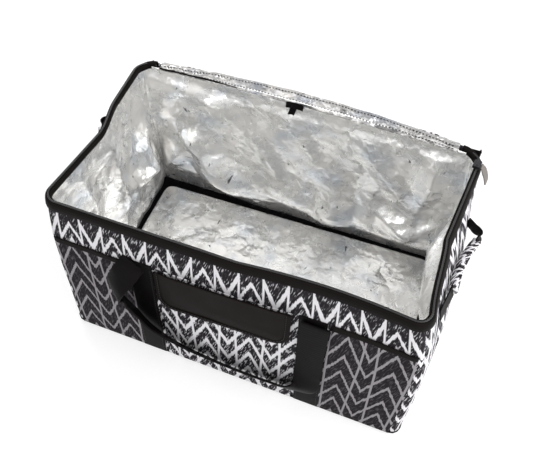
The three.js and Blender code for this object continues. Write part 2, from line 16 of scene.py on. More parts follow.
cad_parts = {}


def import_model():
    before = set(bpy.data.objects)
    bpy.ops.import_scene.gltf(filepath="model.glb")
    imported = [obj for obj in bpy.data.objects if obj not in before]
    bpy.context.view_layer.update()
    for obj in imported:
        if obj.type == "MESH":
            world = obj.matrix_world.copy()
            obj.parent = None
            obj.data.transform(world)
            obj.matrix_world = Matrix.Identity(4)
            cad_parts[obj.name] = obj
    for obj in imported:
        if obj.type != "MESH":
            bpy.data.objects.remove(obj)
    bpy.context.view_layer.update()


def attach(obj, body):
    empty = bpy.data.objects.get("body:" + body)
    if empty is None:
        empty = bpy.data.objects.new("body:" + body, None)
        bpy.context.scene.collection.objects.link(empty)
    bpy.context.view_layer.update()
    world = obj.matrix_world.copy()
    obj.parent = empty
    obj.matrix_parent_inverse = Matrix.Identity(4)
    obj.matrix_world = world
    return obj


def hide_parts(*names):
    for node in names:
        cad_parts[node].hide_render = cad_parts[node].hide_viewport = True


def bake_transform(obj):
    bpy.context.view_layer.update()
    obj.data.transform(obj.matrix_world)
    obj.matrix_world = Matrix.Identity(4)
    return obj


LOG = logging.getLogger("tote")
MM = 0.001
UV = "cloth"
TINY = 1e-6
# Values between which most of a cloudy pattern lies.
NOISE_SPAN = (0.3, 0.7)
# Thin and thick half of a zip tooth, as radii of the coil, and the faces round it.
COIL_RADII = (0.8, 1.2)
COIL_SIDES = 6
STRAP_COLUMNS = 8

Pair = tuple[float, float]
Triple = tuple[float, float, float]
Place = Callable[[float, float], Vector]
Flat = Callable[[float, float], Pair]
Piece = bpy.types.Object
Tree = bpy.types.NodeTree
Socket = bpy.types.NodeSocket
Value = Socket | float | tuple | None


class Side(Enum):
    """Walls of the bag, anticlockwise as seen from above."""

    FRONT = 0
    RIGHT = 1
    BACK = 2
    LEFT = 3

    @property
    def outward(self) -> Vector:
        """Direction that the wall faces."""
        angle = (self.value - 1) * math.pi / 2
        return Vector((round(math.cos(angle)), round(math.sin(angle)), 0))

    @property
    def along(self) -> Vector:
        """Direction along the wall, anticlockwise."""
        return Vector((-self.outward.y, self.outward.x, 0))

    @property
    def label(self) -> str:
        """Name of the wall in the solids."""
        return self.name.lower()


class PrintLayout(Enum):
    """How the zigzag print is laid out on a piece."""

    CHEVRON = "stacked rows"
    BAND = "one tall zigzag"


def clamp(value: float, low: float = 0.0, high: float = 1.0) -> float:
    """Hold a value between two limits."""
    return max(low, min(high, value))


def mix(a: float, b: float, share: float) -> float:
    """Go from a to b by a share."""
    return a + (b - a) * share


def ease(value: float, low: float, high: float) -> float:
    """Rise smoothly from 0 at low to 1 at high."""
    t = clamp((value - low) / (high - low))
    return t * t * (3 - 2 * t)


def ripple(x: float, y: float, z: float, size: float, seed: float = 0.0) -> float:
    """Smooth unevenness from -1 to 1.

    Args:
        x, y, z: Place in millimetres.
        size: Width of one wave in millimetres.
        seed: Moves to another part of the pattern.

    Returns:
        The height of the unevenness there.
    """
    return noise.noise(Vector((x / size + seed, y / size - seed, z / size + 2 * seed)))


def crumple(a: float, b: float, size: float, seed: float) -> float:
    """Facets of crushed film, from 0 to 1: flat faces that meet in sharp creases."""
    distances, _ = noise.voronoi(Vector((a / size, b / size, seed)))
    return clamp(distances[1] - distances[0])


def crush(a: float, b: float, layers: Sequence[Triple], shift: float = 0.0) -> float:
    """Sum of layers of facets, each with a height, a size and a seed that can be shifted."""
    return sum(height * crumple(a, b, size, seed + shift) for height, size, seed in layers)


def linear(code: str) -> tuple[float, float, float, float]:
    """Turn an sRGB hex colour into linear values with full alpha."""
    parts = [int(code[i:i + 2], 16) / 255 for i in (0, 2, 4)]
    low = [p / 12.92 if p <= 0.04045 else ((p + 0.055) / 1.055) ** 2.4 for p in parts]
    return (low[0], low[1], low[2], 1.0)


def add_node(
    tree: Tree,
    kind: str,
    *values: Value,
    named: dict[str | int, Value] | None = None,
    out: int | str = 0,
    **settings: object,
) -> Socket:
    """Add one shader node.

    Args:
        tree: Node tree that gets it.
        kind: Its type, without the ShaderNode that Blender puts first.
        values: Numbers or sockets for its inputs, in order; None leaves one alone.
        named: The same for inputs by name or number.
        out: The output to give back.
        settings: Other properties of the node.

    Returns:
        The chosen output.
    """
    node = tree.nodes.new("ShaderNode" + kind)
    for key, setting in settings.items():
        setattr(node, key, setting)
    for key, value in [*enumerate(values), *(named or {}).items()]:
        if value is None:
            continue
        if isinstance(value, Socket):
            tree.links.new(value, node.inputs[key])
        else:
            node.inputs[key].default_value = value
    return node.outputs[out]


def new_material(name: str) -> tuple[bpy.types.Material, Tree, bpy.types.Node]:
    """Make an empty material with one Principled shader.

    Args:
        name: What the real material is called.

    Returns:
        The material, its tree and its shader node.
    """
    material = bpy.data.materials.new(name)
    material.use_nodes = True
    tree = material.node_tree
    tree.nodes.clear()
    shader = add_node(tree, "BsdfPrincipled").node
    output = tree.nodes.new("ShaderNodeOutputMaterial")
    tree.links.new(shader.outputs[0], output.inputs[0])
    return material, tree, shader


def set_shader(tree: Tree, shader: bpy.types.Node, **values: Value) -> None:
    """Set or link inputs of a shader; an underscore in a key stands for a space."""
    for key, value in values.items():
        socket = shader.inputs[key.replace("_", " ")]
        if isinstance(value, Socket):
            tree.links.new(value, socket)
        else:
            socket.default_value = value


def calc(tree: Tree, operation: str, *values: Value) -> Socket:
    """Add a node that works out one number from others."""
    return add_node(tree, "Math", *values, operation=operation)


def noise_node(tree: Tree, place: Value, scale: float, detail: float, out: int | str = 0,
               **settings: Value) -> Socket:
    """Add a cloudy pattern; the settings are further inputs by name."""
    named = {"Scale": scale, "Detail": detail, **settings}
    return add_node(tree, "TexNoise", place, named=named, out=out)


def tinted(tree: Tree, share: Value, low: Value, high: Value, way: str = "MIX") -> Socket:
    """Go from one colour to another by a share, or join them in another way."""
    return add_node(tree, "Mix", named={0: share, 6: low, 7: high}, out=2, data_type="RGBA",
                    blend_type=way)


def dented(tree: Tree, height: Value, strength: float, depth: float) -> Socket:
    """Make a surface look uneven, by a height that stands for a depth in millimetres."""
    return add_node(tree, "Bump", named={"Strength": strength, "Distance": depth * MM,
                                         "Height": height})


def on_cloth(tree: Tree) -> Socket:
    """Place on the flat cloth in millimetres."""
    uv = add_node(tree, "UVMap", uv_map=UV)
    return add_node(tree, "VectorMath", uv, named={"Scale": 1 / MM}, operation="SCALE")


def shades(code: str, tones: Pair) -> list[tuple[float, ...]]:
    """A darker and a paler version of a colour."""
    base = Vector(linear(code)[:3])
    return [(*(base * tone), 1.0) for tone in tones]


@dataclass(frozen=True)
class PrintCloth:
    """Printed polyester canvas: matt, charcoal, with a rough-edged zigzag in off-white.

    The brush-like edges and the short slanted flecks are what the eye reads as a woven print.
    Threads are about 0.5 mm, too fine to show, so the weave is drawn at 1.6 mm.
    """

    name: str
    layout: PrintLayout
    light: str = "f0eef2"
    dark: str = "29262a"
    period: float = 55.0
    row: float = 34.5
    rise: float = 62.0
    stroke: float = 1.8
    upright: float = 1.2
    upright_lean: float = 0.035
    band_edge: float = -7.0
    band_foot: float = -3.0
    band_tall: float = 39.0
    band_low: float = 31.0
    band_thick: float = 2.3
    wedge_slope: float = 2.2
    wedge_tall: float = 8.0
    far: float = 50.0
    thread: float = 1.1
    ragged: float = 1.6
    wander_scale: float = 0.09
    ink_edge: Pair = (0.9, 1.15)
    fleck_slant: float = 0.3
    fleck_stretch: Pair = (1.1, 0.16)
    fleck_scale: float = 0.62
    fleck_share: float = 0.6
    fleck_edge: float = 0.07
    fleck_tone: float = 0.65
    faint_share: float = 0.5
    faint_tone: float = 0.07
    mesh_pitch: float = 0.0
    mesh_shade: float = 0.16
    weave_scale: float = 0.62
    weave_span: Pair = (0.25, 0.75)
    weave_tone: float = 0.82
    weave_strength: float = 0.35
    weave_depth: float = 0.5
    roughness: float = 0.85
    specular: float = 0.06

    def strokes(self, tree: Tree, u: Value, v: Value) -> Socket:
        """Distance from the printed lines, in units of their half width.

        The band stands above an edge of the cloth, and rows fill what is below it.

        Args:
            tree: Node tree of the material.
            u, v: Place on the cloth in millimetres.

        Returns:
            Less than 1 inside a stroke.
        """
        rows = self.rows(tree, u, v)
        if self.layout is PrintLayout.CHEVRON:
            return rows
        above = calc(tree, "GREATER_THAN", v, self.band_edge)
        hidden = calc(tree, "MULTIPLY_ADD", above, self.far, rows)
        off = calc(tree, "MULTIPLY_ADD", above, -self.far, self.far)
        band = calc(tree, "ADD", self.band(tree, u, v), off)
        return calc(tree, "MINIMUM", hidden, band)

    def rows(self, tree: Tree, u: Value, v: Value) -> Socket:
        """Stacked zigzag rows crossed by leaning uprights.

        Args:
            tree: Node tree of the material.
            u, v: Place on the cloth in millimetres.

        Returns:
            Less than 1 inside a stroke.
        """
        half = self.period / 2
        slope = self.rise / half
        line = calc(tree, "MULTIPLY_ADD", calc(tree, "PINGPONG", u, half), -slope, v)
        found = self.repeat(tree, line, self.row, self.stroke * math.hypot(1.0, slope))
        for lean, shift in ((self.upright_lean, 0.25), (-self.upright_lean, 0.75)):
            slant = calc(tree, "MULTIPLY_ADD", v, lean, u)
            moved = calc(tree, "ADD", slant, shift * self.period)
            line = self.repeat(tree, moved, self.period, self.upright)
            found = calc(tree, "MINIMUM", found, line)
        return found

    def band(self, tree: Tree, u: Value, v: Value) -> Socket:
        """Bold V shapes and thin peaks in turn, an upright between them, and filled feet.

        Args:
            tree: Node tree of the material.
            u, v: Place on the cloth in millimetres.

        Returns:
            Less than 1 inside a stroke.
        """
        quarter = self.period / 4
        away = calc(tree, "PINGPONG", u, self.period / 2)
        high = calc(tree, "ADD", v, -self.band_foot)
        peak = calc(tree, "GREATER_THAN", away, quarter)
        beyond = calc(tree, "ADD", away, -quarter)
        found = calc(tree, "DIVIDE", calc(tree, "ABSOLUTE", beyond), self.upright)
        for place, tall, thick, skip, scale in (
            (away, self.band_tall, self.band_thick, 0.0, self.far),
            (beyond, self.band_low, self.stroke, self.far, -self.far),
        ):
            slope = tall / quarter
            gap = calc(tree, "ABSOLUTE", calc(tree, "MULTIPLY_ADD", place, -slope, high))
            wide = calc(tree, "DIVIDE", gap, thick * math.hypot(1.0, slope))
            off = calc(tree, "MULTIPLY_ADD", peak, scale, skip)
            found = calc(tree, "MINIMUM", found, calc(tree, "ADD", wide, off))
        inner = calc(tree, "MULTIPLY_ADD", away, -self.wedge_slope,
                     self.wedge_slope * self.period / 2)
        wedge = calc(tree, "DIVIDE", calc(tree, "ADD", inner, high), self.wedge_tall)
        return calc(tree, "MINIMUM", found, wedge)

    @staticmethod
    def repeat(tree: Tree, place: Value, pitch: float, half: float) -> Socket:
        """Distance from the nearest of a row of lines, in units of their half width."""
        share = calc(tree, "FRACT", calc(tree, "DIVIDE", place, pitch))
        gap = calc(tree, "ABSOLUTE", calc(tree, "ADD", share, -0.5))
        return calc(tree, "MULTIPLY", gap, pitch / half)

    def flecks(self, tree: Tree, u: Value, v: Value) -> Socket:
        """Short slanted dashes of ink, with a faint haze round them.

        Args:
            tree: Node tree of the material.
            u, v: Place on the cloth in millimetres.

        Returns:
            Share of ink.
        """
        slant = calc(tree, "MULTIPLY_ADD", v, -self.fleck_slant, u)
        streak = add_node(tree, "CombineXYZ", calc(tree, "MULTIPLY", slant, self.fleck_stretch[0]),
                          calc(tree, "MULTIPLY", v, self.fleck_stretch[1]))
        dashes = noise_node(tree, streak, self.fleck_scale, 1.0)
        fleck = add_node(tree, "MapRange", dashes, self.fleck_share,
                         self.fleck_share + self.fleck_edge, 0.0, self.fleck_tone)
        faint = add_node(tree, "MapRange", dashes, self.faint_share, self.fleck_share, 0.0,
                         self.faint_tone)
        return calc(tree, "MAXIMUM", fleck, faint)

    def make(self) -> bpy.types.Material:
        """Build the material."""
        material, tree, shader = new_material(self.name)
        place = on_cloth(tree)
        u = add_node(tree, "SeparateXYZ", place)
        v = u.node.outputs[1]
        thread = calc(tree, "FLOOR", calc(tree, "DIVIDE", u, self.thread))
        jag = add_node(tree, "TexWhiteNoise", named={"W": thread}, noise_dimensions="1D")
        ragged = calc(tree, "MULTIPLY_ADD", jag, 2 * self.ragged, -self.ragged)
        wander = noise_node(tree, place, self.wander_scale, 2.0)
        drift = calc(tree, "MULTIPLY_ADD", wander, 2 * self.ragged, ragged)
        found = self.strokes(tree, u, calc(tree, "ADD", v, drift))
        ink = add_node(tree, "MapRange", found, *self.ink_edge, 1.0, 0.0)
        white = calc(tree, "MAXIMUM", ink, self.flecks(tree, u, v))
        if self.mesh_pitch:
            turns = calc(tree, "MULTIPLY", v, 2 * math.pi / self.mesh_pitch)
            shade = calc(tree, "MULTIPLY_ADD", calc(tree, "SINE", turns), self.mesh_shade,
                         1 - self.mesh_shade)
            white = calc(tree, "MULTIPLY", white, shade)
        weave = noise_node(tree, place, self.weave_scale, 3.0)
        uneven = add_node(tree, "MapRange", weave, *self.weave_span, self.weave_tone, 1.0)
        colour = tinted(tree, white, linear(self.dark), linear(self.light))
        toned = tinted(tree, 1.0, colour, uneven, "MULTIPLY")
        set_shader(tree, shader, Base_Color=toned, Roughness=self.roughness,
                   Specular_IOR_Level=self.specular,
                   Normal=dented(tree, weave, self.weave_strength, self.weave_depth))
        return material


@dataclass(frozen=True)
class FoilFilm:
    """Aluminised film on thin foam: bright, soft mirror, crushed into creases and small dents.

    Flat facets of two sizes catch the light, each tilted its own way; warmer paler patches are
    painted highlights, bluish patches are painted shade, and dark ticks in small dents are a painted
    dark reflection.
    """

    name: str = "aluminised film"
    colour: str = "e7e7e6"
    # Colours of the painted highlights, of the painted bluish shade and of the painted reflection in
    # dents.
    warm_highlight: str = "f4f2ef"
    cool_shade: str = "d7dbe0"
    dent_reflection: str = "3a3b40"
    metallic: float = 0.78
    facets: Pair = (30.0, 11.0)
    tilts: Pair = (0.28, 0.14)
    warm_scale: float = 0.022
    warm_detail: float = 4.0
    warm_rough: float = 0.6
    warm_share: Pair = (0.42, 0.62)
    cool_scale: float = 0.02
    cool_share: Pair = (0.52, 0.68)
    cool_shift: float = 900.0
    bend_scale: float = 0.05
    bend: float = 30.0
    dent_size: float = 9.0
    dent_stretch: float = 0.42
    dent_rarity: float = 0.42
    dent_reach: float = 0.17
    dent_edge: float = 0.04
    dent_reflection_tone: float = 0.9
    dimple_scale: float = 0.1
    bump_strength: float = 0.8
    bump_depth: float = 1.0
    roughness: Pair = (0.2, 0.34)

    def ticks(self, tree: Tree, place: Value) -> Socket:
        """Share of the dark colour, a painted dark reflection, in small long dents at some of a
        pattern's cells.
        """
        stretch = add_node(tree, "VectorMath", place, (1.0, self.dent_stretch, 1.0),
                           operation="MULTIPLY")
        spots = add_node(tree, "TexVoronoi", stretch, named={"Scale": 1 / self.dent_size})
        rare = add_node(tree, "SeparateColor", spots.node.outputs["Color"])
        size = add_node(tree, "MapRange", rare, self.dent_rarity, 1.0, 0.0, self.dent_reach)
        gone = calc(tree, "SUBTRACT", size, spots)
        return add_node(tree, "MapRange", gone, 0.0, self.dent_edge, 0.0, self.dent_reflection_tone)

    def creases(self, tree: Tree, place: Value, shifted: Value) -> Socket:
        """Height of tilted flat facets and fine dimples.

        Args:
            tree: Node tree of the material.
            place: Place on the film in millimetres.
            shifted: The same, wandering, so that facets have uneven edges.

        Returns:
            The height.
        """
        height = noise_node(tree, place, self.dimple_scale, 3.0, Roughness=0.5)
        for size, tilt in zip(self.facets, self.tilts):
            cell = add_node(tree, "TexVoronoi", shifted, named={"Scale": 1 / size}, out="Color")
            lean = add_node(tree, "VectorMath", cell, (0.5, 0.5, 0.5), operation="SUBTRACT")
            away = add_node(tree, "VectorMath", shifted, cell.node.outputs["Position"],
                            operation="SUBTRACT")
            plane = add_node(tree, "VectorMath", lean, away, out="Value",
                             operation="DOT_PRODUCT")
            height = calc(tree, "MULTIPLY_ADD", plane, tilt, height)
        return height

    def make(self) -> bpy.types.Material:
        """Build the material."""
        material, tree, shader = new_material(self.name)
        place = on_cloth(tree)
        # Painted highlights: a cloud mixes in a warmer, paler colour; the same cloud also sets the
        # roughness.
        highlight_and_rough_blotch = noise_node(tree, place, self.warm_scale, self.warm_detail,
                            Roughness=self.warm_rough, Distortion=self.warm_rough)
        warm_highlight_share = add_node(tree, "MapRange", highlight_and_rough_blotch, *self.warm_share, 0.0, 1.0)
        highlighted = tinted(tree, warm_highlight_share, linear(self.colour), linear(self.warm_highlight))
        # Painted shade: a second cloud mixes in a bluish, darker colour.
        far = add_node(tree, "VectorMath", place, (self.cool_shift, 0.0, 0.0), operation="ADD")
        patch = noise_node(tree, far, self.cool_scale, 2.0)
        bluish_shade_share = add_node(tree, "MapRange", patch, *self.cool_share, 0.0, 1.0)
        colour = tinted(tree, bluish_shade_share, highlighted, linear(self.cool_shade))
        bent = noise_node(tree, place, self.bend_scale, 2.0, "Color")
        shifted = add_node(tree, "VectorMath", bent, (self.bend, self.bend, 0.0), place,
                           operation="MULTIPLY_ADD")
        # Painted dark reflection: dark ticks in the dents darken the colour.
        reflection_marked = tinted(tree, self.ticks(tree, shifted), colour, linear(self.dent_reflection))
        rough = add_node(tree, "MapRange", highlight_and_rough_blotch, *NOISE_SPAN, *self.roughness)
        height = self.creases(tree, place, shifted)
        set_shader(tree, shader, Base_Color=reflection_marked, Metallic=self.metallic, Roughness=rough,
                   Normal=dented(tree, height, self.bump_strength, self.bump_depth))
        return material


@dataclass(frozen=True)
class WovenBlack:
    """Black woven or knitted trim: webbing, zip tape, binding and plain cloth.

    Ribs run across the piece and catch a dull highlight. Real ribs are about 1 mm; they are
    drawn at the pitch given so that they show.
    """

    name: str
    colour: str
    roughness: float
    rib: float
    rib_depth: float
    specular: float = 0.05
    rib_share: float = 0.3
    grain_scale: float = 0.5
    wear_scale: float = 0.03
    wear_grain: float = 0.4
    wear_span: Pair = (0.45, 0.95)
    tones: Pair = (0.78, 1.3)
    bump_strength: float = 0.4
    spread: float = 0.06

    def make(self) -> bpy.types.Material:
        """Build the material."""
        material, tree, shader = new_material(self.name)
        place = on_cloth(tree)
        v = add_node(tree, "SeparateXYZ", place, out=1)
        ribs = calc(tree, "SINE", calc(tree, "MULTIPLY", v, 2 * math.pi / self.rib))
        grain = noise_node(tree, place, self.grain_scale, 3.0)
        height = calc(tree, "MULTIPLY_ADD", ribs, self.rib_share, grain)
        patch = noise_node(tree, place, self.wear_scale, 3.0)
        worn = calc(tree, "MULTIPLY_ADD", grain, self.wear_grain, patch)
        share = add_node(tree, "MapRange", worn, *self.wear_span, 0.0, 1.0)
        colour = tinted(tree, share, *shades(self.colour, self.tones))
        rough = add_node(tree, "MapRange", patch, *NOISE_SPAN, self.roughness - self.spread,
                         self.roughness + self.spread)
        set_shader(tree, shader, Base_Color=colour, Roughness=rough,
                   Specular_IOR_Level=self.specular,
                   Normal=dented(tree, height, self.bump_strength, self.rib_depth))
        return material


@dataclass(frozen=True)
class Moulded:
    """Plain stuff without ribs: nylon coil, painted zinc, thread, woven pull, foam.

    A fine uneven grain breaks up the highlight.
    """

    name: str
    colour: str
    roughness: float
    metallic: float = 0.0
    grain: float = 2.0
    depth: float = 0.1
    tones: Pair = (0.85, 1.15)
    bump_strength: float = 0.3
    spread: float = 0.07

    def make(self) -> bpy.types.Material:
        """Build the material."""
        material, tree, shader = new_material(self.name)
        place = add_node(tree, "TexCoord", out="Object")
        grain = noise_node(tree, place, 1 / (self.grain * MM), 3.0)
        colour = tinted(tree, grain, *shades(self.colour, self.tones))
        rough = add_node(tree, "MapRange", grain, *NOISE_SPAN, self.roughness - self.spread,
                         self.roughness + self.spread)
        set_shader(tree, shader, Base_Color=colour, Roughness=rough, Metallic=self.metallic,
                   Normal=dented(tree, grain, self.bump_strength, self.depth))
        return material


FINISHES = {
    "print": PrintCloth("printed polyester canvas", PrintLayout.CHEVRON, stroke=2.15,
                        upright=1.45, fleck_share=0.57),
    "band": PrintCloth("printed polyester canvas band", PrintLayout.BAND),
    "bold": PrintCloth("printed polyester canvas, bold", PrintLayout.CHEVRON, stroke=2.5,
                       upright=1.7, fleck_share=0.56),
    "mesh": PrintCloth("printed knitted mesh", PrintLayout.CHEVRON, light="a9a5a9",
                       dark="272427", stroke=1.5, fleck_share=0.66, fleck_tone=0.3,
                       faint_tone=0.16, mesh_pitch=2.6),
    "rolled": PrintCloth("printed polyester canvas, rolled", PrintLayout.CHEVRON, period=26.0,
                         row=13.0, rise=17.0, stroke=1.3, upright=0.8, fleck_share=0.6),
    "foil": FoilFilm(),
    # Colour, painted highlight, painted bluish shade and painted reflection in dents, in that order.
    "lid_foil": FoilFilm("aluminised film, lid", "bdbdbd", "c9c8c6", "b2b4b8", "3a3b40", 0.45,
                         (34.0, 12.0), (0.45, 0.25)),
    "strip": FoilFilm("aluminised film tape", "b4b3b2", "c8c5c2", "9a9da4", "2c2d32", 0.75,
                      (14.0, 5.0), (0.5, 0.5)),
    "webbing": WovenBlack("polypropylene webbing", "0f0d0d", 0.5, 2.2, 0.25, 0.05),
    "tape": WovenBlack("woven polyester tape", "141110", 0.65, 1.8, 0.2),
    "cloth": WovenBlack("black polyester cloth", "0b0a0b", 0.85, 2.4, 0.25),
    "flap": WovenBlack("coated black cloth", "0f0a08", 0.46, 2.4, 0.1, 0.05),
    "pile": WovenBlack("hook and loop pile", "141314", 0.9, 1.4, 0.6),
    "thread": Moulded("polyester thread", "1b1a1a", 0.6),
    "coil": Moulded("nylon zip coil", "191919", 0.38),
    "zinc": Moulded("painted zinc", "3a3a3d", 0.35, 0.7),
    "pull": Moulded("woven pull tab", "77726e", 0.75, 0.0, 1.6, 0.25),
    "foam": Moulded("polyethylene foam", "e8e6e0", 0.9, 0.0, 3.0, 0.4),
}


class Wardrobe:
    """Makes each finish once and gives it to the pieces that ask for it."""

    def __init__(self) -> None:
        """Start with nothing made."""
        self.made: dict[str, bpy.types.Material] = {}

    def __getitem__(self, key: str) -> bpy.types.Material:
        """Give a finish's material, made at its first use."""
        if key not in self.made:
            self.made[key] = FINISHES[key].make()
        return self.made[key]


WARDROBE = Wardrobe()


def sheet_mesh(
    name: str,
    columns: int,
    rows: int,
    place: Place,
    flat: Flat,
    closed: bool = False,
) -> Piece:
    """Lay a grid of faces over a surface.

    Args:
        name: Name of the piece.
        columns, rows: Faces along the first and the second direction.
        place: Gives a point in millimetres from two shares, each from 0 to 1.
        flat: Gives the place on the cloth in millimetres from the same shares.
        closed: Joins the first column to the last, and closes the ends, as on a tube.

    Returns:
        The new object, smooth shaded.
    """
    bm = bmesh.new()
    bmesh.ops.create_grid(bm, x_segments=columns, y_segments=rows, size=0.5)
    layer = bm.loops.layers.uv.new(UV)
    for face in bm.faces:
        face.smooth = True
        for loop in face.loops:
            u, v = flat(loop.vert.co.x + 0.5, loop.vert.co.y + 0.5)
            loop[layer].uv = (u * MM, v * MM)
    for vert in bm.verts:
        vert.co = place(vert.co.x + 0.5, vert.co.y + 0.5) * MM
    if closed:
        bmesh.ops.remove_doubles(bm, verts=bm.verts, dist=TINY)
        bmesh.ops.holes_fill(bm, edges=[e for e in bm.edges if e.is_boundary], sides=0)
        bmesh.ops.recalc_face_normals(bm, faces=bm.faces)
    return mesh_object(name, bm)


def mesh_object(name: str, bm: bmesh.types.BMesh) -> Piece:
    """Turn a bmesh into an object of the scene, and free it."""
    mesh = bpy.data.meshes.new(name)
    bm.to_mesh(mesh)
    bm.free()
    obj = bpy.data.objects.new(name, mesh)
    bpy.context.scene.collection.objects.link(obj)
    return obj


def thicken(obj: Piece, thickness: float, offset: float = -1.0, edge: float = 0.0) -> Piece:
    """Give a sheet its thickness, and round its edges.

    Args:
        obj: The sheet.
        thickness: In millimetres.
        offset: -1 grows it inwards, 1 outwards and 0 both ways.
        edge: Radius of the rounded edges in millimetres.

    Returns:
        The same object.
    """
    solid = obj.modifiers.new("thickness", "SOLIDIFY")
    solid.thickness = thickness * MM
    solid.offset = offset
    solid.use_even_offset = False
    if edge:
        bevel = obj.modifiers.new("edge", "BEVEL")
        bevel.width = edge * MM
        bevel.segments = 2
        bevel.limit_method = "ANGLE"
        bevel.angle_limit = math.radians(50)
    return obj


def apply_modifiers(obj: Piece) -> None:
    """Replace the object's mesh by what its modifiers make of it."""
    graph = bpy.context.evaluated_depsgraph_get()
    mesh = bpy.data.meshes.new_from_object(obj.evaluated_get(graph))
    obj.modifiers.clear()
    obj.data = mesh


def dress(obj: Piece, finish: str, slot: str, body: str | None, *nodes: str) -> Piece:
    """Give a piece its material and body, and hide the solids that it stands for.

    Args:
        obj: The piece.
        finish: Key of the finish.
        slot: Not used.
        body: Body that it moves with; None leaves it without one.
        nodes: Solids that it replaces.

    Returns:
        The same object.
    """
    obj.data.materials.clear()
    obj.data.materials.append(WARDROBE[finish])
    if body:
        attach(obj, body)
    if nodes:
        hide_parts(*nodes)
    LOG.info("%s: %d vertices", obj.name, len(obj.data.vertices))
    return obj


def stitches(name: str, path: Sequence[tuple[Vector, Vector]], finish: str, body: str | None,
             slot: str, length: float = 2.8, pitch: float = 4.2,
             width: float = 0.45) -> Piece:
    """Lay a row of small raised stitches along a path.

    Args:
        name: Name of the piece.
        path: Points in millimetres, each with the direction that the surface faces.
        finish: Key of the thread's finish.
        body: Body that it moves with; None leaves it without one.
        slot: Material slot of the record.
        length, pitch, width: Size of a stitch, its repeat and its half width.

    Returns:
        The row as one object.
    """
    squash = 0.8
    bm = bmesh.new()
    carried = 0.0
    for (a, face), (b, _) in zip(path, path[1:]):
        step = (b - a).length
        if step < TINY:
            continue
        ahead = (b - a) / step
        while carried < step:
            side = face.cross(ahead).normalized()
            up = ahead.cross(side)
            turn = Matrix((ahead, side, up)).transposed().to_4x4()
            size = Matrix.Diagonal((length / 2, width, width * squash, 1.0))
            spot = Matrix.Translation((a + ahead * carried) * MM)
            bmesh.ops.create_icosphere(bm, subdivisions=1, radius=MM,
                                       matrix=spot @ turn @ size)
            carried += pitch
        carried -= step
    for face in bm.faces:
        face.smooth = True
    return dress(mesh_object(name, bm), finish, slot, body)


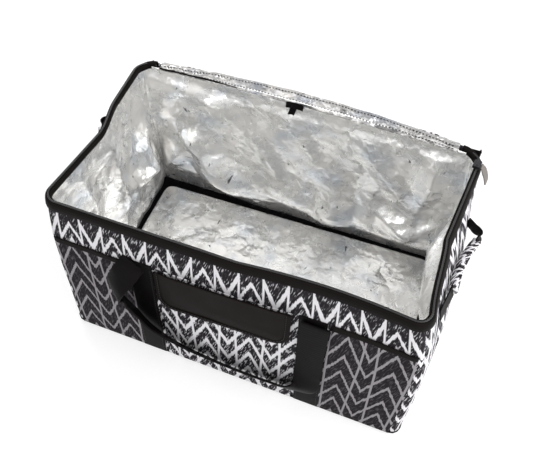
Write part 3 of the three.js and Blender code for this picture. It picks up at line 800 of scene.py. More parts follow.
@dataclass(frozen=True)
class BagForm:
    """The soft box that every piece lies on, in millimetres."""

    rim: Pair = (430.0, 242.0)
    base: Pair = (450.0, 268.0)
    wall_top: float = 246.0
    rim_corner: float = 17.0
    base_corner: float = 12.0
    corner_bulge: float = 6.0
    side_bulge: float = 6.0
    bulge_height: float = 0.65
    gusset_depth: Pair = (8.5, 12.0)
    gusset_start: float = 0.6
    gusset_y: float = -12.0
    sway_foot: float = 120.0
    sway_left: float = 6.5
    sway_right: float = 7.0
    sway_x: Pair = (100.0, 200.0)
    sway_left_y: Pair = (-8.0, 45.0)
    sway_right_y: Pair = (10.0, 100.0)
    front_bow: float = 6.0
    bow_start: float = 10.0
    bow_span: float = 200.0
    bow_y: Pair = (60.0, 105.0)
    pucker_size: float = 70.0
    pucker: float = 1.5
    pucker_fine: float = 0.35
    pucker_foot: Pair = (2.0, 30.0)
    pucker_top: Pair = (215.0, 240.0)

    def share(self, z: float) -> float:
        """Height as a share of the wall."""
        return clamp(z / self.wall_top)

    def swell(self, h: float) -> float:
        """Bulge of the walls, 0 at base and rim and 1 at its fullest."""
        q = h ** (math.log(0.5) / math.log(self.bulge_height))
        return 4 * q * (1 - q)

    def half_length(self, h: float) -> float:
        """Half of the plan's length at a height share."""
        return mix(self.base[0], self.rim[0], h) / 2 + self.corner_bulge * self.swell(h)

    def half_depth(self, h: float) -> float:
        """Half of the plan's depth at a height share."""
        return mix(self.base[1], self.rim[1], h) / 2

    def corner(self, h: float) -> float:
        """Corner radius of the plan at a height share."""
        return mix(self.base_corner, self.rim_corner, h)

    def stand_out(self, sign: int, y: float, h: float) -> float:
        """How far the left (-1) or right (1) wall stands out of its straight line."""
        span = self.half_depth(h) - self.corner(h)
        reach = span + self.gusset_y if y < self.gusset_y else span - self.gusset_y
        t = clamp(abs(y - self.gusset_y) / reach)
        pinch = self.gusset_depth[sign > 0] * ease(h, self.gusset_start, 1.0) * (1 - t)
        return self.side_bulge * self.swell(h) * (1 - t * t) - pinch

    def half_run(self, side: Side, z: float) -> float:
        """Half of a wall's length round its two half corners."""
        h = self.share(z)
        long = side in (Side.FRONT, Side.BACK)
        straight = (self.half_length(h) if long else self.half_depth(h)) - self.corner(h)
        return straight + self.corner(h) * math.pi / 4

    def wall(self, side: Side, along: float, z: float, out: float = 0.0) -> Vector:
        """Point on a wall.

        Args:
            side: Which wall.
            along: Distance from the wall's middle, anticlockwise, round its half corners.
            z: Height.
            out: Distance outwards from the face of the outer cloth.

        Returns:
            The point.
        """
        h = self.share(z)
        a, b, r = self.half_length(h), self.half_depth(h), self.corner(h)
        long = side in (Side.FRONT, Side.BACK)
        straight = (a if long else b) - r
        turn = 0.0
        if abs(along) > straight:
            turn = math.copysign((abs(along) - straight) / r, along)
        run = clamp(along, -straight, straight) + (r + out) * math.sin(turn)
        reach = (b if long else a) - r + (r + out) * math.cos(turn)
        if not long:
            sign = 1 if side is Side.RIGHT else -1
            reach += self.stand_out(sign, sign * run, h)
        point = side.outward * reach + side.along * run
        return self.settle(Vector((point.x, point.y, z)))

    def settle(self, point: Vector) -> Vector:
        """Pull on the open rim: back left corner out, front right corner in, front bowed in."""
        x, y, z = point
        high = ease(z, self.sway_foot, self.wall_top)
        out = self.sway_left * ease(-x, *self.sway_x) * ease(y, *self.sway_left_y)
        out += self.sway_right * ease(x, *self.sway_x) * ease(-y, *self.sway_right_y)
        way = clamp((x - self.bow_start) / self.bow_span)
        bow = self.front_bow * math.sin(math.pi * way) * ease(-y, *self.bow_y)
        return Vector((x - high * out, y + high * bow, z))

    def soft(self, point: Vector) -> float:
        """How far the outer cloth stands proud or sunk at a point of the wall."""
        hold = ease(point.z, *self.pucker_foot) * (1 - ease(point.z, *self.pucker_top))
        slow = ripple(*point, self.pucker_size, 3.0)
        quick = ripple(*point, self.pucker_size / 3, 5.0)
        return self.pucker * hold * (slow + self.pucker_fine * quick)

    def cloth(self, side: Side, along: float, z: float, out: float = 0.0) -> Vector:
        """Point on the uneven outer cloth, standing out by a distance."""
        return self.wall(side, along, z, out + self.soft(self.wall(side, along, z)))

    def face(self, side: Side, x: float, z: float, out: float = 0.0) -> Vector:
        """Point on the front or back cloth by its x, whichever way the wall runs."""
        return self.cloth(side, x if side is Side.FRONT else -x, z, out)

    def rim_path(self, back_end: float) -> list[tuple[Side, float, float]]:
        """Stretches of the zipped rim, from the back left to the back right.

        Args:
            back_end: Where the zip ends on the back rim, from its middle.

        Returns:
            Side, first and last distance along it, for each stretch.
        """
        run = {side: self.half_run(side, self.wall_top) for side in Side}
        return [
            (Side.BACK, back_end, run[Side.BACK]),
            (Side.LEFT, -run[Side.LEFT], run[Side.LEFT]),
            (Side.FRONT, -run[Side.FRONT], run[Side.FRONT]),
            (Side.RIGHT, -run[Side.RIGHT], run[Side.RIGHT]),
            (Side.BACK, -run[Side.BACK], -back_end),
        ]

    def rim_length(self, back_end: float) -> float:
        """Length of the zipped rim."""
        return sum(last - first for _, first, last in self.rim_path(back_end))

    def rim_point(self, back_end: float, travel: float, z: float, out: float) -> Vector:
        """Point along the zipped rim, by the distance from its back left end."""
        for side, first, last in self.rim_path(back_end):
            if travel <= last - first + TINY:
                break
            travel -= last - first
        return self.wall(side, min(first + travel, last), z, out)


FORM = BagForm()


def centripetal(points: Sequence[Vector], t: float) -> Vector:
    """Point on a centripetal Catmull-Rom curve.

    Args:
        points: What the curve passes through.
        t: Share of the way, with an equal share for each stretch.

    Returns:
        The point.
    """
    place = (len(points) - 1) * t
    i = min(int(place), len(points) - 2)
    w = place - i
    p1, p2 = points[i], points[i + 1]
    p0 = points[i - 1] if i else 2 * p1 - p2
    p3 = points[i + 2] if i + 2 < len(points) else 2 * p2 - p1
    d0, d1, d2 = ((b - a).length ** 0.5 for a, b in ((p0, p1), (p1, p2), (p2, p3)))
    m1 = ((p1 - p0) / d0 - (p2 - p0) / (d0 + d1) + (p2 - p1) / d1) * d1
    m2 = ((p2 - p1) / d1 - (p3 - p1) / (d1 + d2) + (p3 - p2) / d2) * d1
    a = 2 * p1 - 2 * p2 + m1 + m2
    b = 3 * (p2 - p1) - 2 * m1 - m2
    return ((a * w + b) * w + m1) * w + p1


@dataclass(frozen=True)
class Route:
    """A strap's way through space: points and the direction of its width at each."""

    points: tuple[Vector, ...]
    across: tuple[Vector, ...]

    def frame(self, t: float) -> tuple[Vector, Vector, Vector]:
        """Centre, width direction and facing of the strap at a share of the way."""
        step = 0.002
        centre = centripetal(self.points, t)
        ahead = centripetal(self.points, min(t + step, 1)) - centripetal(
            self.points, max(t - step, 0))
        ahead.normalize()
        place = t * (len(self.points) - 1)
        n = min(int(place), len(self.points) - 2)
        width = self.across[n].lerp(self.across[n + 1], place - n)
        width = (width - ahead * width.dot(ahead)).normalized()
        return centre, width, ahead.cross(width)

    def length(self, steps: int = 80) -> float:
        """Length of the centre line."""
        places = [centripetal(self.points, i / steps) for i in range(steps + 1)]
        return sum((b - a).length for a, b in zip(places, places[1:]))

    def strap(self, name: str, width: float, thickness: float, rows: int, cup: float = 0.0) -> Piece:
        """Make the strap.

        Args:
            name: Name of the piece.
            width, thickness: Size of its section.
            rows: Faces along it.
            cup: How far its middle stands out of its edges.

        Returns:
            The strap as an object.
        """
        long = self.length()
        edge = 0.5

        def place(s: float, t: float) -> Vector:
            centre, across, facing = self.frame(t)
            lift = cup * math.sin(math.pi * s)
            return centre + across * ((s - 0.5) * width) + facing * lift

        obj = sheet_mesh(name, STRAP_COLUMNS, rows, place, lambda s, t: (s * width, t * long))
        return thicken(obj, thickness, 0.0, edge)


def crowd(share: float, amount: float) -> float:
    """Move a share towards the nearer end, so that a grid is denser near its edges."""
    return share - amount * math.sin(2 * math.pi * share)


def rounded(length: float, depth: float, radius: float, s: float, t: float) -> Pair:
    """Place in a rectangle with round corners, from two shares, denser near the edges."""
    a, b = length / 2, depth / 2
    crowding = 0.1
    y = (2 * crowd(t, crowding) - 1) * b
    over = max(0.0, abs(y) - (b - radius))
    half = a - radius + math.sqrt(max(0.0, radius * radius - over * over))
    return (2 * crowd(s, crowding) - 1) * half, y


def three_sides(half: float, tall: float, radius: float, share: float) -> Pair:
    """Point on the left, lower and right side of a rectangle with two round lower corners.

    Args:
        half: Half of its width.
        tall: Its height, down from 0.
        radius: Radius of the two corners.
        share: Share of the way, from the upper left to the upper right.

    Returns:
        The distances to the right of the middle and up from the top.
    """
    bend = radius * math.pi / 2
    legs = [tall - radius, bend, 2 * (half - radius), bend, tall - radius]
    left = share * sum(legs)
    for i, leg in enumerate(legs):
        if left <= leg or i == len(legs) - 1:
            break
        left -= leg
    if i == 0:
        return -half, -left
    if i == 2:
        return -half + radius + left, -tall
    if i == 4:
        return half, -tall + radius + min(left, leg)
    sine, cosine = radius * math.sin(left / radius), radius * math.cos(left / radius)
    if i == 1:
        return -half + radius - cosine, -tall + radius - sine
    return half - radius + sine, -tall + radius - cosine


def profile(section: Sequence[Pair], share: float) -> Pair:
    """The point of a section at a share of the way along it."""
    return section[round(share * (len(section) - 1))]


def tooth(s: float, t: float, teeth: int) -> Pair:
    """Point of a zip coil's section, thick and thin in turn.

    Args:
        s: Share of the way round the section.
        t: Share of the way along the coil.
        teeth: Number of teeth along the coil.

    Returns:
        The distances inwards and upwards from the coil's middle.
    """
    radius = COIL_RADII[round(t * teeth * 2) % 2]
    angle = 2 * math.pi * s
    return radius * math.cos(angle), radius * math.sin(angle)


def rounded_outline(length: float, depth: float, radius: float, travel: float) -> Vector:
    """Point on the outline of a rounded rectangle, from a share of the way round it.

    Args:
        length, depth, radius: Size of the rectangle and its corners.
        travel: Share of the way, from the middle of the front, anticlockwise.

    Returns:
        The point at height 0.
    """
    a, b = length / 2 - radius, depth / 2 - radius
    bend = radius * math.pi / 2
    legs = [a, bend, 2 * b, bend, 2 * a, bend, 2 * b, bend, a]
    left = (travel % 1.0) * sum(legs)
    if travel >= 1.0:
        left = 0.0
    starts = [(0, -b - radius), (a, -b), (a + radius, -b), (a, b), (a, b + radius), (-a, b),
              (-a - radius, b), (-a, -b), (-a, -b - radius)]
    for i, leg in enumerate(legs):
        if left <= leg:
            break
        left -= leg
    x, y = starts[i]
    if i % 2:
        angle = (i // 2 - 1) * math.pi / 2 + left / radius
        return Vector((x + radius * math.cos(angle), y + radius * math.sin(angle), 0))
    heading = (i // 2) * math.pi / 2
    return Vector((x + left * math.cos(heading), y + left * math.sin(heading), 0))


@dataclass(frozen=True)
class Fold:
    """One fold of the lining, drawn on its wall as a ridge towards the inside."""

    side: Side
    height: float
    width: float
    points: tuple[Pair, ...]
    sharp: bool = True
    crest_power: float = 1.15
    end_rise: float = 0.3
    end_way: float = 0.06

    def rise(self, across: float, z: float) -> float:
        """Height of the fold at a place of the wall, by its x or y and its z."""
        here = Vector((across, z))
        best = 0.0
        for i, (start, end) in enumerate(zip(self.points, self.points[1:])):
            a, line = Vector(start), Vector(end) - Vector(start)
            t = clamp((here - a).dot(line) / line.length_squared)
            gap = clamp((here - a - line * t).length / self.width)
            crest = (1 - gap) ** self.crest_power if self.sharp else (1 - gap * gap) ** 2
            way = clamp((i + t) / (len(self.points) - 1), self.end_way, 1 - self.end_way)
            best = max(best, crest * mix(self.end_rise, 1.0, math.sin(math.pi * way)))
        return self.height * best


@dataclass
class Walls:
    """Outer cloth, foam and crushed foil lining of the four walls."""

    foot: float = 2.5
    cloth: float = 1.2
    print_seam: float = 193.0
    foam_in: float = 2.6
    foam: float = 2.6
    foam_gap: float = 0.6
    foam_lift: float = 1.0
    foam_top: float = 226.0
    press_top: float = 242.0
    rim_press: float = 3.8
    lining_in: float = 6.4
    lining: float = 0.8
    lining_foot: float = 22.5
    lining_top: float = 245.5
    step: float = 4.0
    lining_step: float = 2.8
    film_apart: float = 600.0
    slack: float = 1.6
    slack_size: float = 75.0
    facets: tuple[Triple, ...] = ((2.6, 58.0, 0.0), (1.3, 24.0, 4.0))
    seed: float = 7.0
    grain: float = 0.35
    grain_size: float = 11.0
    corner_hold: float = 26.0
    rim_hold: Pair = (4.0, 32.0)
    rim_slack: float = 0.06
    foot_hold: float = 60.0
    foot_slack: float = 0.45
    seam_lean: float = 0.35
    seam_start: float = 244.0
    seam_rise: float = 1.5
    seam_arch: float = 6.0
    seam_half: float = 190.0
    seam_over: float = 6.0
    seam_fade: float = 16.0
    folds: tuple[Fold, ...] = (
        Fold(Side.BACK, 6.5, 24.0, ((-200, 240), (-112, 212), (-62, 172))),
        Fold(Side.BACK, 18.0, 46.0, ((-300, 84), (0, 80), (60, 74), (560, 66)), False),
        Fold(Side.BACK, 8.0, 18.0, ((-62, 172), (-45, 147), (-28, 115), (-25, 79))),
        Fold(Side.BACK, 20.0, 36.0, ((-175, 150), (-152, 140), (-112, 82), (-60, 40))),
        Fold(Side.BACK, 12.0, 22.0, ((-152, 142), (-205, 70))),
        Fold(Side.BACK, 12.0, 32.0, ((40, 152), (60, 100), (44, 28)), False),
        Fold(Side.BACK, 6.0, 18.0, ((102, 128), (100, 70)), False),
        Fold(Side.BACK, 11.0, 21.0, ((92, 118), (127, 100), (162, 85), (206, 116))),
        Fold(Side.BACK, 12.0, 21.0, ((174, 250), (172, 180), (160, 90))),
        Fold(Side.BACK, 8.0, 20.0, ((60, 240), (120, 170), (150, 130))),
        Fold(Side.BACK, 6.0, 16.0, ((-20, 228), (20, 170), (10, 120))),
        Fold(Side.LEFT, 18.0, 52.0, ((-12, 250), (10, 165), (-2, 95), (-6, 30))),
        Fold(Side.LEFT, 34.0, 40.0, ((28, 108), (60, 112), (98, 86))),
        Fold(Side.LEFT, 10.0, 22.0, ((36, 158), (78, 138), (114, 160))),
        Fold(Side.LEFT, 8.0, 18.0, ((52, 238), (58, 180), (36, 150))),
        Fold(Side.LEFT, 9.0, 26.0, ((18, 100), (42, 62), (60, 30))),
        Fold(Side.LEFT, 12.0, 24.0, ((-62, 222), (-46, 150), (-72, 60))),
        Fold(Side.LEFT, 8.0, 18.0, ((-100, 214), (-86, 110), (-96, 40))),
        Fold(Side.RIGHT, 16.0, 44.0, ((-108, 250), (-70, 205), (-12, 225), (50, 225))),
        Fold(Side.RIGHT, 10.0, 50.0, ((-12, 250), (-4, 170), (-16, 120))),
        Fold(Side.RIGHT, 5.0, 26.0, ((-12, 120), (50, 80), (100, 40))),
        Fold(Side.RIGHT, 5.0, 26.0, ((-12, 120), (-60, 70), (-100, 40))),
        Fold(Side.RIGHT, 7.0, 30.0, ((-200, 30), (0, 30), (200, 30)), False),
        Fold(Side.LEFT, 14.0, 30.0, ((-200, 30), (0, 30), (200, 30)), False),
        Fold(Side.RIGHT, 4.0, 24.0, ((70, 220), (84, 150), (100, 90))),
        Fold(Side.FRONT, 8.0, 34.0, ((-190, 220), (-130, 150), (-90, 80))),
        Fold(Side.FRONT, 6.0, 30.0, ((-40, 190), (40, 70))),
        Fold(Side.FRONT, 8.0, 34.0, ((70, 220), (110, 150), (180, 100))),
        Fold(Side.FRONT, 5.0, 26.0, ((120, 60), (190, 150))),
    )

    def panel(self, side: Side) -> None:
        """Outer cloth of one wall."""
        middle = FORM.half_run(side, FORM.wall_top / 2)
        columns = round(2 * middle / self.step)
        rows = round(FORM.wall_top / self.step)
        base = self.print_seam if side is Side.FRONT else 0.0

        def place(s: float, t: float) -> Vector:
            z = mix(self.foot, FORM.wall_top, t)
            return FORM.cloth(side, (2 * s - 1) * FORM.half_run(side, z), z)

        def flat(s: float, t: float) -> Pair:
            return (2 * s - 1) * middle, mix(self.foot, FORM.wall_top, t) - base

        obj = thicken(sheet_mesh(f"{side.label}_panel_cloth", columns, rows, place, flat),
                      self.cloth)
        finish = {Side.FRONT: "band", Side.BACK: "print"}.get(side, "bold")
        dress(obj, finish, "print_cloth", "bag", f"{side.label}_panel")
        2 * middle * MM

    def core(self, side: Side) -> None:
        """Foam of one wall, between the cloth and the lining."""
        middle = FORM.half_run(side, FORM.wall_top / 2)

        def place(s: float, t: float) -> Vector:
            z = mix(self.foot + self.foam_lift, self.foam_top, t)
            half = FORM.half_run(side, z) - self.foam_gap
            return FORM.cloth(side, (2 * s - 1) * half, z, -self.foam_in)

        obj = sheet_mesh(f"foam_{side.label}_core", round(middle / self.step),
                         round(FORM.wall_top / self.step / 2), place,
                         lambda s, t: (2 * s * middle, t * FORM.wall_top))
        thicken(obj, self.foam)
        dress(obj, "foam", "foam", "bag", f"foam_{side.label}")
        2 * middle * MM

    def inset(self, z: float) -> float:
        """Depth of the lining's face behind the outer cloth, least where the rim is pressed."""
        press = self.rim_press * ease(z, self.foam_top, self.press_top)
        return self.lining_in + self.lining - press

    def billow(self, side: Side, along: float, z: float) -> float:
        """How far the foil stands inwards at a place of its wall."""
        point = FORM.wall(side, along, z)
        long = side in (Side.FRONT, Side.BACK)
        across = point.x if long else point.y
        seed = self.seed * side.value
        rise = sum(f.rise(across, z) for f in self.folds if f.side is side)
        rise += self.slack * (1 + ripple(across, 0, z, self.slack_size, seed))
        rise += crush(across, z, self.facets, seed)
        rise += self.grain * ripple(across, 0, z, self.grain_size, seed)
        hold = ease(FORM.half_run(side, z) - abs(along), 0.0, self.corner_hold)
        hold *= mix(self.rim_slack, 1.0, ease(self.lining_top - z, *self.rim_hold))
        foot = mix(self.foot_slack, 1.0, ease(z, self.lining_foot, self.foot_hold))
        return max(0.0, rise) * hold * foot

    def top_edge(self, side: Side, along: float) -> float:
        """Height of the lining's top; at the back it runs up to the lid's strip."""
        if side is not Side.BACK:
            return self.lining_top
        arch = self.seam_arch * max(0.0, 1 - (along / self.seam_half) ** 2)
        return self.lining_top + self.seam_rise + arch

    def lean(self, side: Side, along: float, z: float) -> float:
        """How far the top of the back lining leans out over the rim."""
        if side is not Side.BACK:
            return 0.0
        hold = ease(self.seam_half + self.seam_over - abs(along), 0.0, self.seam_fade)
        return self.seam_lean * max(0.0, z - self.seam_start) * hold

    def film(self, side: Side) -> None:
        """Foil lining of one wall."""
        middle = FORM.half_run(side, FORM.wall_top / 2)
        columns = round(2 * middle / self.lining_step)
        tall = self.lining_top - self.lining_foot
        rows = round(tall / self.lining_step)

        def place(s: float, t: float) -> Vector:
            span = (2 * s - 1) * FORM.half_run(side, FORM.wall_top)
            z = mix(self.lining_foot, self.top_edge(side, span), t)
            along = (2 * s - 1) * FORM.half_run(side, z)
            out = self.lean(side, along, z) - self.inset(z) - self.billow(side, along, z)
            return FORM.wall(side, along, z, out)

        obj = sheet_mesh(f"lining_{side.label}_film", columns, rows, place,
                         lambda s, t: ((2 * s - 1) * middle + self.film_apart * side.value,
                                       t * tall))
        thicken(obj, self.lining, 1.0)
        dress(obj, "foil", "foil_lining", "bag", f"lining_{side.label}")
        2 * middle * MM

    def build(self) -> None:
        """Make the three layers of every wall."""
        for side in Side:
            self.core(side)
            self.panel(side)
            self.film(side)


@dataclass
class Base:
    """Base cloth with its turned-up edge, foam, black lining, and the loose board."""

    edge_height: float = 6.0
    edge_out: float = 0.9
    edge_cloth: float = 0.7
    edge_wide: float = 68.0
    edge_print: Pair = (1400.0, 70.0)
    edge_corner: float = 2.0
    ring_columns: int = 240
    layer_grid: tuple[int, int] = (90, 60)
    sole_in: float = 1.6
    sole_z: float = 0.8
    sole: float = 0.6
    inset: float = 9.7
    foam_z: float = 1.5
    foam: float = 19.8
    lining_z: float = 22.8
    lining: float = 0.9
    lining_spare: float = 17.0
    wave: float = 0.25
    wave_size: float = 40.0
    dip: float = 1.9
    dip_y: Pair = (100.0, 114.0)
    board: Pair = (412.0, 238.0)
    board_at: Pair = (4.0, -5.0)
    board_turn: float = math.radians(1.2)
    board_z: float = 24.0
    board_thickness: float = 4.0
    board_corner: float = 16.0
    film: float = 0.5
    film_in: float = 0.6
    film_core: float = 2.4
    film_drop: float = 0.9
    film_roll: float = 5.0
    film_hold: Pair = (1.0, 18.0)
    film_grid: tuple[int, int] = (150, 90)
    facets: tuple[Triple, ...] = ((0.9, 60.0, 31.0), (0.5, 18.0, 33.0))
    grain: float = 0.35
    grain_size: float = 9.0
    binding_wide: float = 12.0
    binding_cloth: float = 0.5

    def tray(self) -> Piece:
        """Base cloth, turned up round the foot of the walls."""
        length, depth = FORM.base
        # Inset and height of each point, from under the bag to the turned-up edge.
        section = [(60.0, 0.05), (20.0, 0.05), (4.0, 0.05), (1.4, 0.3), (0.0, 1.2),
                   (-self.edge_out, 3.0), (-self.edge_out, self.edge_height)]

        def place(s: float, t: float) -> Vector:
            inset, z = profile(section, t)
            r = max(FORM.base_corner - inset, self.edge_corner)
            point = rounded_outline(length - 2 * inset, depth - 2 * inset, r, s)
            return point + Vector((0, 0, z))

        around, across = self.edge_print
        return sheet_mesh("base_cloth", self.ring_columns, len(section) - 1, place,
                          lambda s, t: (s * around, t * across))

    def plain(self, name: str, inset: float, z: float, thickness: float, finish: str, slot: str,
              node: str, uneven: float) -> Piece:
        """A flat layer of the base with round corners.

        Args:
            name: Name of the piece.
            inset: Distance in from the base outline.
            z: Height of its lower face.
            thickness: Its thickness.
            finish, slot, node: Its finish, record slot and the solid that it replaces.
            uneven: Height of its waves; a layer with waves also dips at the front.

        Returns:
            The layer as an object.
        """
        length, depth = FORM.base[0] - 2 * inset, FORM.base[1] - 2 * inset
        corner = max(FORM.base_corner - inset, 3.0)

        def place(s: float, t: float) -> Vector:
            x, y = rounded(length, depth, corner, s, t)
            low = self.dip * ease(-y, *self.dip_y) if uneven else 0.0
            wave = uneven * ripple(x, y, 0, self.wave_size, 2.0)
            return Vector((x, y, z + thickness - low + wave))

        obj = sheet_mesh(name, *self.layer_grid, place,
                         lambda s, t: rounded(length, depth, corner, s, t))
        thicken(obj, thickness)
        return dress(obj, finish, slot, "bag", node)

    def build(self) -> None:
        """Make the base and the board."""
        length, depth = FORM.base
        edge = self.tray()
        thicken(edge, self.edge_cloth)
        dress(edge, "cloth", "black_cloth", "bag")
        sole = self.plain("base_sole", self.sole_in, self.sole_z, self.sole, "cloth",
                          "black_cloth", "base_panel", 0.0)
        foam = self.plain("base_foam_core", self.inset, self.foam_z, self.foam, "foam", "foam",
                          "foam_base", 0.0)
        lining = self.plain("base_lining_cloth", self.inset - 1.0, self.lining_z, self.lining,
                            "cloth", "black_cloth", "lining_base", self.wave)
        self.loose_board()

    def loose_board(self) -> None:
        """The stiff board with its foil cover and its black bound edge."""
        length, depth = self.board
        middle = Vector((*self.board_at, self.board_z))
        turn = Matrix.Rotation(self.board_turn, 3, "Z")
        spare = 2 * self.film_in

        def top(s: float, t: float) -> Vector:
            x, y = rounded(length - spare, depth - spare, self.board_corner - self.film_in, s, t)
            edge = min(length / 2 - abs(x), depth / 2 - abs(y))
            wave = crush(x, y, self.facets) + self.grain * ripple(x, y, 0, self.grain_size, 4.0)
            drop = self.film + self.film_drop * (1 - ease(edge, 0.0, self.film_roll))
            z = self.board_thickness - drop + wave * ease(edge, *self.film_hold)
            return middle + turn @ Vector((x, y, z))

        obj = sheet_mesh("board_foil_cover", *self.film_grid, top,
                         lambda s, t: rounded(length, depth, self.board_corner, s, t))
        thicken(obj, self.film_core)
        dress(obj, "foil", "foil_lining", "base_board", "base_board")

        # Inset and height of each point, from under the board to its upper edge.
        section = [(8.0, 0.0), (2.0, 0.0), (0.4, 0.4), (0.0, 1.4), (0.1, 2.2), (0.9, 2.7)]

        def bound(s: float, t: float) -> Vector:
            inset, z = profile(section, t)
            outline = rounded_outline(length - 2 * inset, depth - 2 * inset,
                                      self.board_corner - inset, s)
            return middle + turn @ outline + Vector((0, 0, z))

        long = 2 * (length + depth)
        edge = sheet_mesh("board_edge_binding", self.ring_columns, len(section) - 1, bound,
                          lambda s, t: (t * self.binding_wide, s * long))
        thicken(edge, self.binding_cloth, 1.0)
        dress(edge, "tape", "black_tape", "base_board", "base_board_binding")


@dataclass
class RimZip:
    """Zip tape folded over the rim, its coil, the slider at the back right and its pull."""

    back_end: float = 192.0
    drop: float = 237.0
    cloth: float = 0.8
    cloth_wide: float = 24.0
    weave_wide: float = 34.0
    columns: int = 330
    sway: float = 0.5
    sway_size: float = 45.0
    tail: float = 22.0
    tail_rise: float = 4.0
    tail_out: float = 2.0
    coil_in: float = 1.8
    coil_z: float = 249.0
    coil_round: float = 7.0
    tooth: float = 1.5
    slider_y: float = 101.0
    slider_z: float = 247.8
    slider_in: float = 1.2
    slider_size: Pair = (9.0, 11.0)
    slider_pinch: float = 0.8
    plates: tuple[Pair, ...] = ((0.3, 1.5), (3.3, 4.5))
    cheek_x: float = 3.8
    cheek_size: Pair = (1.0, 9.0)
    cheek_z: Pair = (0.5, 4.3)
    bridge_size: Pair = (2.4, 7.0)
    bridge_z: Pair = (4.3, 5.2)
    slider_round: float = 0.35
    pull: Triple = (13.0, 25.0, 1.5)
    pull_at: Triple = (5.0, 0.0, 2.9)
    pull_tilt: float = math.radians(28)
    pull_rows: int = 20
    pull_neck: float = 0.62
    neck_share: Pair = (0.05, 0.35)
    tip_share: float = 0.1
    pull_bow: float = 1.4
    pull_round: float = 0.4

    def tape(self) -> None:
        """The folded tape, with a pressed line along its top."""
        # Inset and height of each point, from the inside over the rim to the outside.
        section = [(4.5, self.drop + 3.5), (4.5, 243.5), (4.4, 245.8), (3.9, 247.0), (3.2, 247.5),
                   (2.8, 247.4), (2.5, 246.8), (2.2, 247.4), (1.6, 247.6), (0.6, 247.6),
                   (-0.4, 247.3), (-1.0, 246.6), (-1.3, 245.4), (-1.4, 242.0),
                   (-1.3, self.drop)]
        long = FORM.rim_length(self.back_end)

        def place(s: float, t: float) -> Vector:
            inset, z = profile(section, t)
            end = ease(self.tail - min(s, 1 - s) * long, 0.0, self.tail)
            sway = self.sway * ripple(s * long, 0, 0, self.sway_size, 6.0) + self.tail_rise * end
            out = self.tail_out * end - inset
            return FORM.rim_point(self.back_end, s * long, z, out) + Vector((0, 0, sway))

        obj = sheet_mesh("rim_tape_fold", self.columns, len(section) - 1, place,
                         lambda s, t: (t * self.weave_wide, s * long))
        thicken(obj, self.cloth)
        dress(obj, "tape", "black_tape", "bag", "rim_zip_tape")
        long * MM

    def coil(self) -> None:
        """The row of nylon teeth."""
        long = FORM.rim_length(self.back_end)
        teeth = round(long / self.tooth / 2)

        def place(s: float, t: float) -> Vector:
            inwards, up = tooth(s, t, teeth)
            return FORM.rim_point(self.back_end, t * long, self.coil_z + up,
                                  -(self.coil_in + inwards))

        obj = sheet_mesh("rim_coil_teeth", COIL_SIDES, teeth * 2, place,
                         lambda s, t: (s * self.coil_round, t * long), closed=True)
        dress(obj, "coil", "zip_coil", "bag", "rim_zip_coil")

    def slider_frame(self) -> Matrix:
        """Place and turn of the slider, astride the coil."""
        span = FORM.half_depth(1) - FORM.corner(1)
        turn = math.atan2(FORM.gusset_depth[1], span - FORM.gusset_y)
        x = FORM.half_length(1) + FORM.stand_out(1, self.slider_y, 1) - self.coil_in - self.slider_in
        spot = Matrix.Translation((x, self.slider_y, self.slider_z))
        return spot @ Matrix.Rotation(-turn, 4, "Z")

    @staticmethod
    def block(bm: bmesh.types.BMesh, size: Pair, z: Pair, x: float = 0.0,
              pinch: float = 1.0) -> None:
        """Add a block to a mesh.

        Args:
            bm: The mesh.
            size: Width and length.
            z: Heights of its lower and upper face.
            x: Its middle.
            pinch: Share of the width at its back end.
        """
        for vert in bmesh.ops.create_cube(bm, size=1.0)["verts"]:
            wide = vert.co.x * size[0] * (pinch if vert.co.y > 0 else 1.0)
            vert.co = Vector((x + wide, vert.co.y * size[1], mix(*z, vert.co.z + 0.5)))

    def slider(self) -> None:
        """A shell of two plates, narrower at the back, two cheeks and a bridge for the pull."""
        bm = bmesh.new()
        for z in self.plates:
            self.block(bm, self.slider_size, z, pinch=self.slider_pinch)
        for x in (-self.cheek_x, self.cheek_x):
            self.block(bm, self.cheek_size, self.cheek_z, x)
        self.block(bm, self.bridge_size, self.bridge_z)
        bmesh.ops.bevel(bm, geom=bm.edges[:], offset=self.slider_round, segments=2,
                        affect="EDGES", profile=0.5, material=-1)
        bmesh.ops.transform(bm, matrix=Matrix.Scale(MM, 4) @ self.slider_frame(), verts=bm.verts)
        obj = mesh_object("zip_slider_body", bm)
        dress(obj, "zinc", "slider_metal", "zip_slider", "zip_slider")

    def tab(self) -> None:
        """The pull: a tab that hangs outside the rim."""
        wide, long, thick = self.pull
        frame = self.slider_frame() @ Matrix.Translation(self.pull_at)
        frame @= Matrix.Rotation(-self.pull_tilt, 4, "Y")

        def place(s: float, t: float) -> Vector:
            half = wide / 2 * mix(self.pull_neck, 1.0, ease(t, *self.neck_share))
            end = max(0.0, t - 1 + self.tip_share) / self.tip_share
            half *= math.sqrt(1 - end * end / 2)
            bow = self.pull_bow * math.sin(math.pi * t)
            return frame @ Vector((bow, (2 * s - 1) * half, -long * t))

        obj = sheet_mesh("zip_pull_tab", STRAP_COLUMNS, self.pull_rows, place,
                         lambda s, t: (s * wide, t * long))
        thicken(obj, thick, 0.0, self.pull_round)
        dress(obj, "pull", "pull_tab", "zip_pull", "zip_pull")

    def build(self) -> None:
        """Make the rim zip."""
        self.tape()
        self.coil()
        self.slider()
        self.tab()


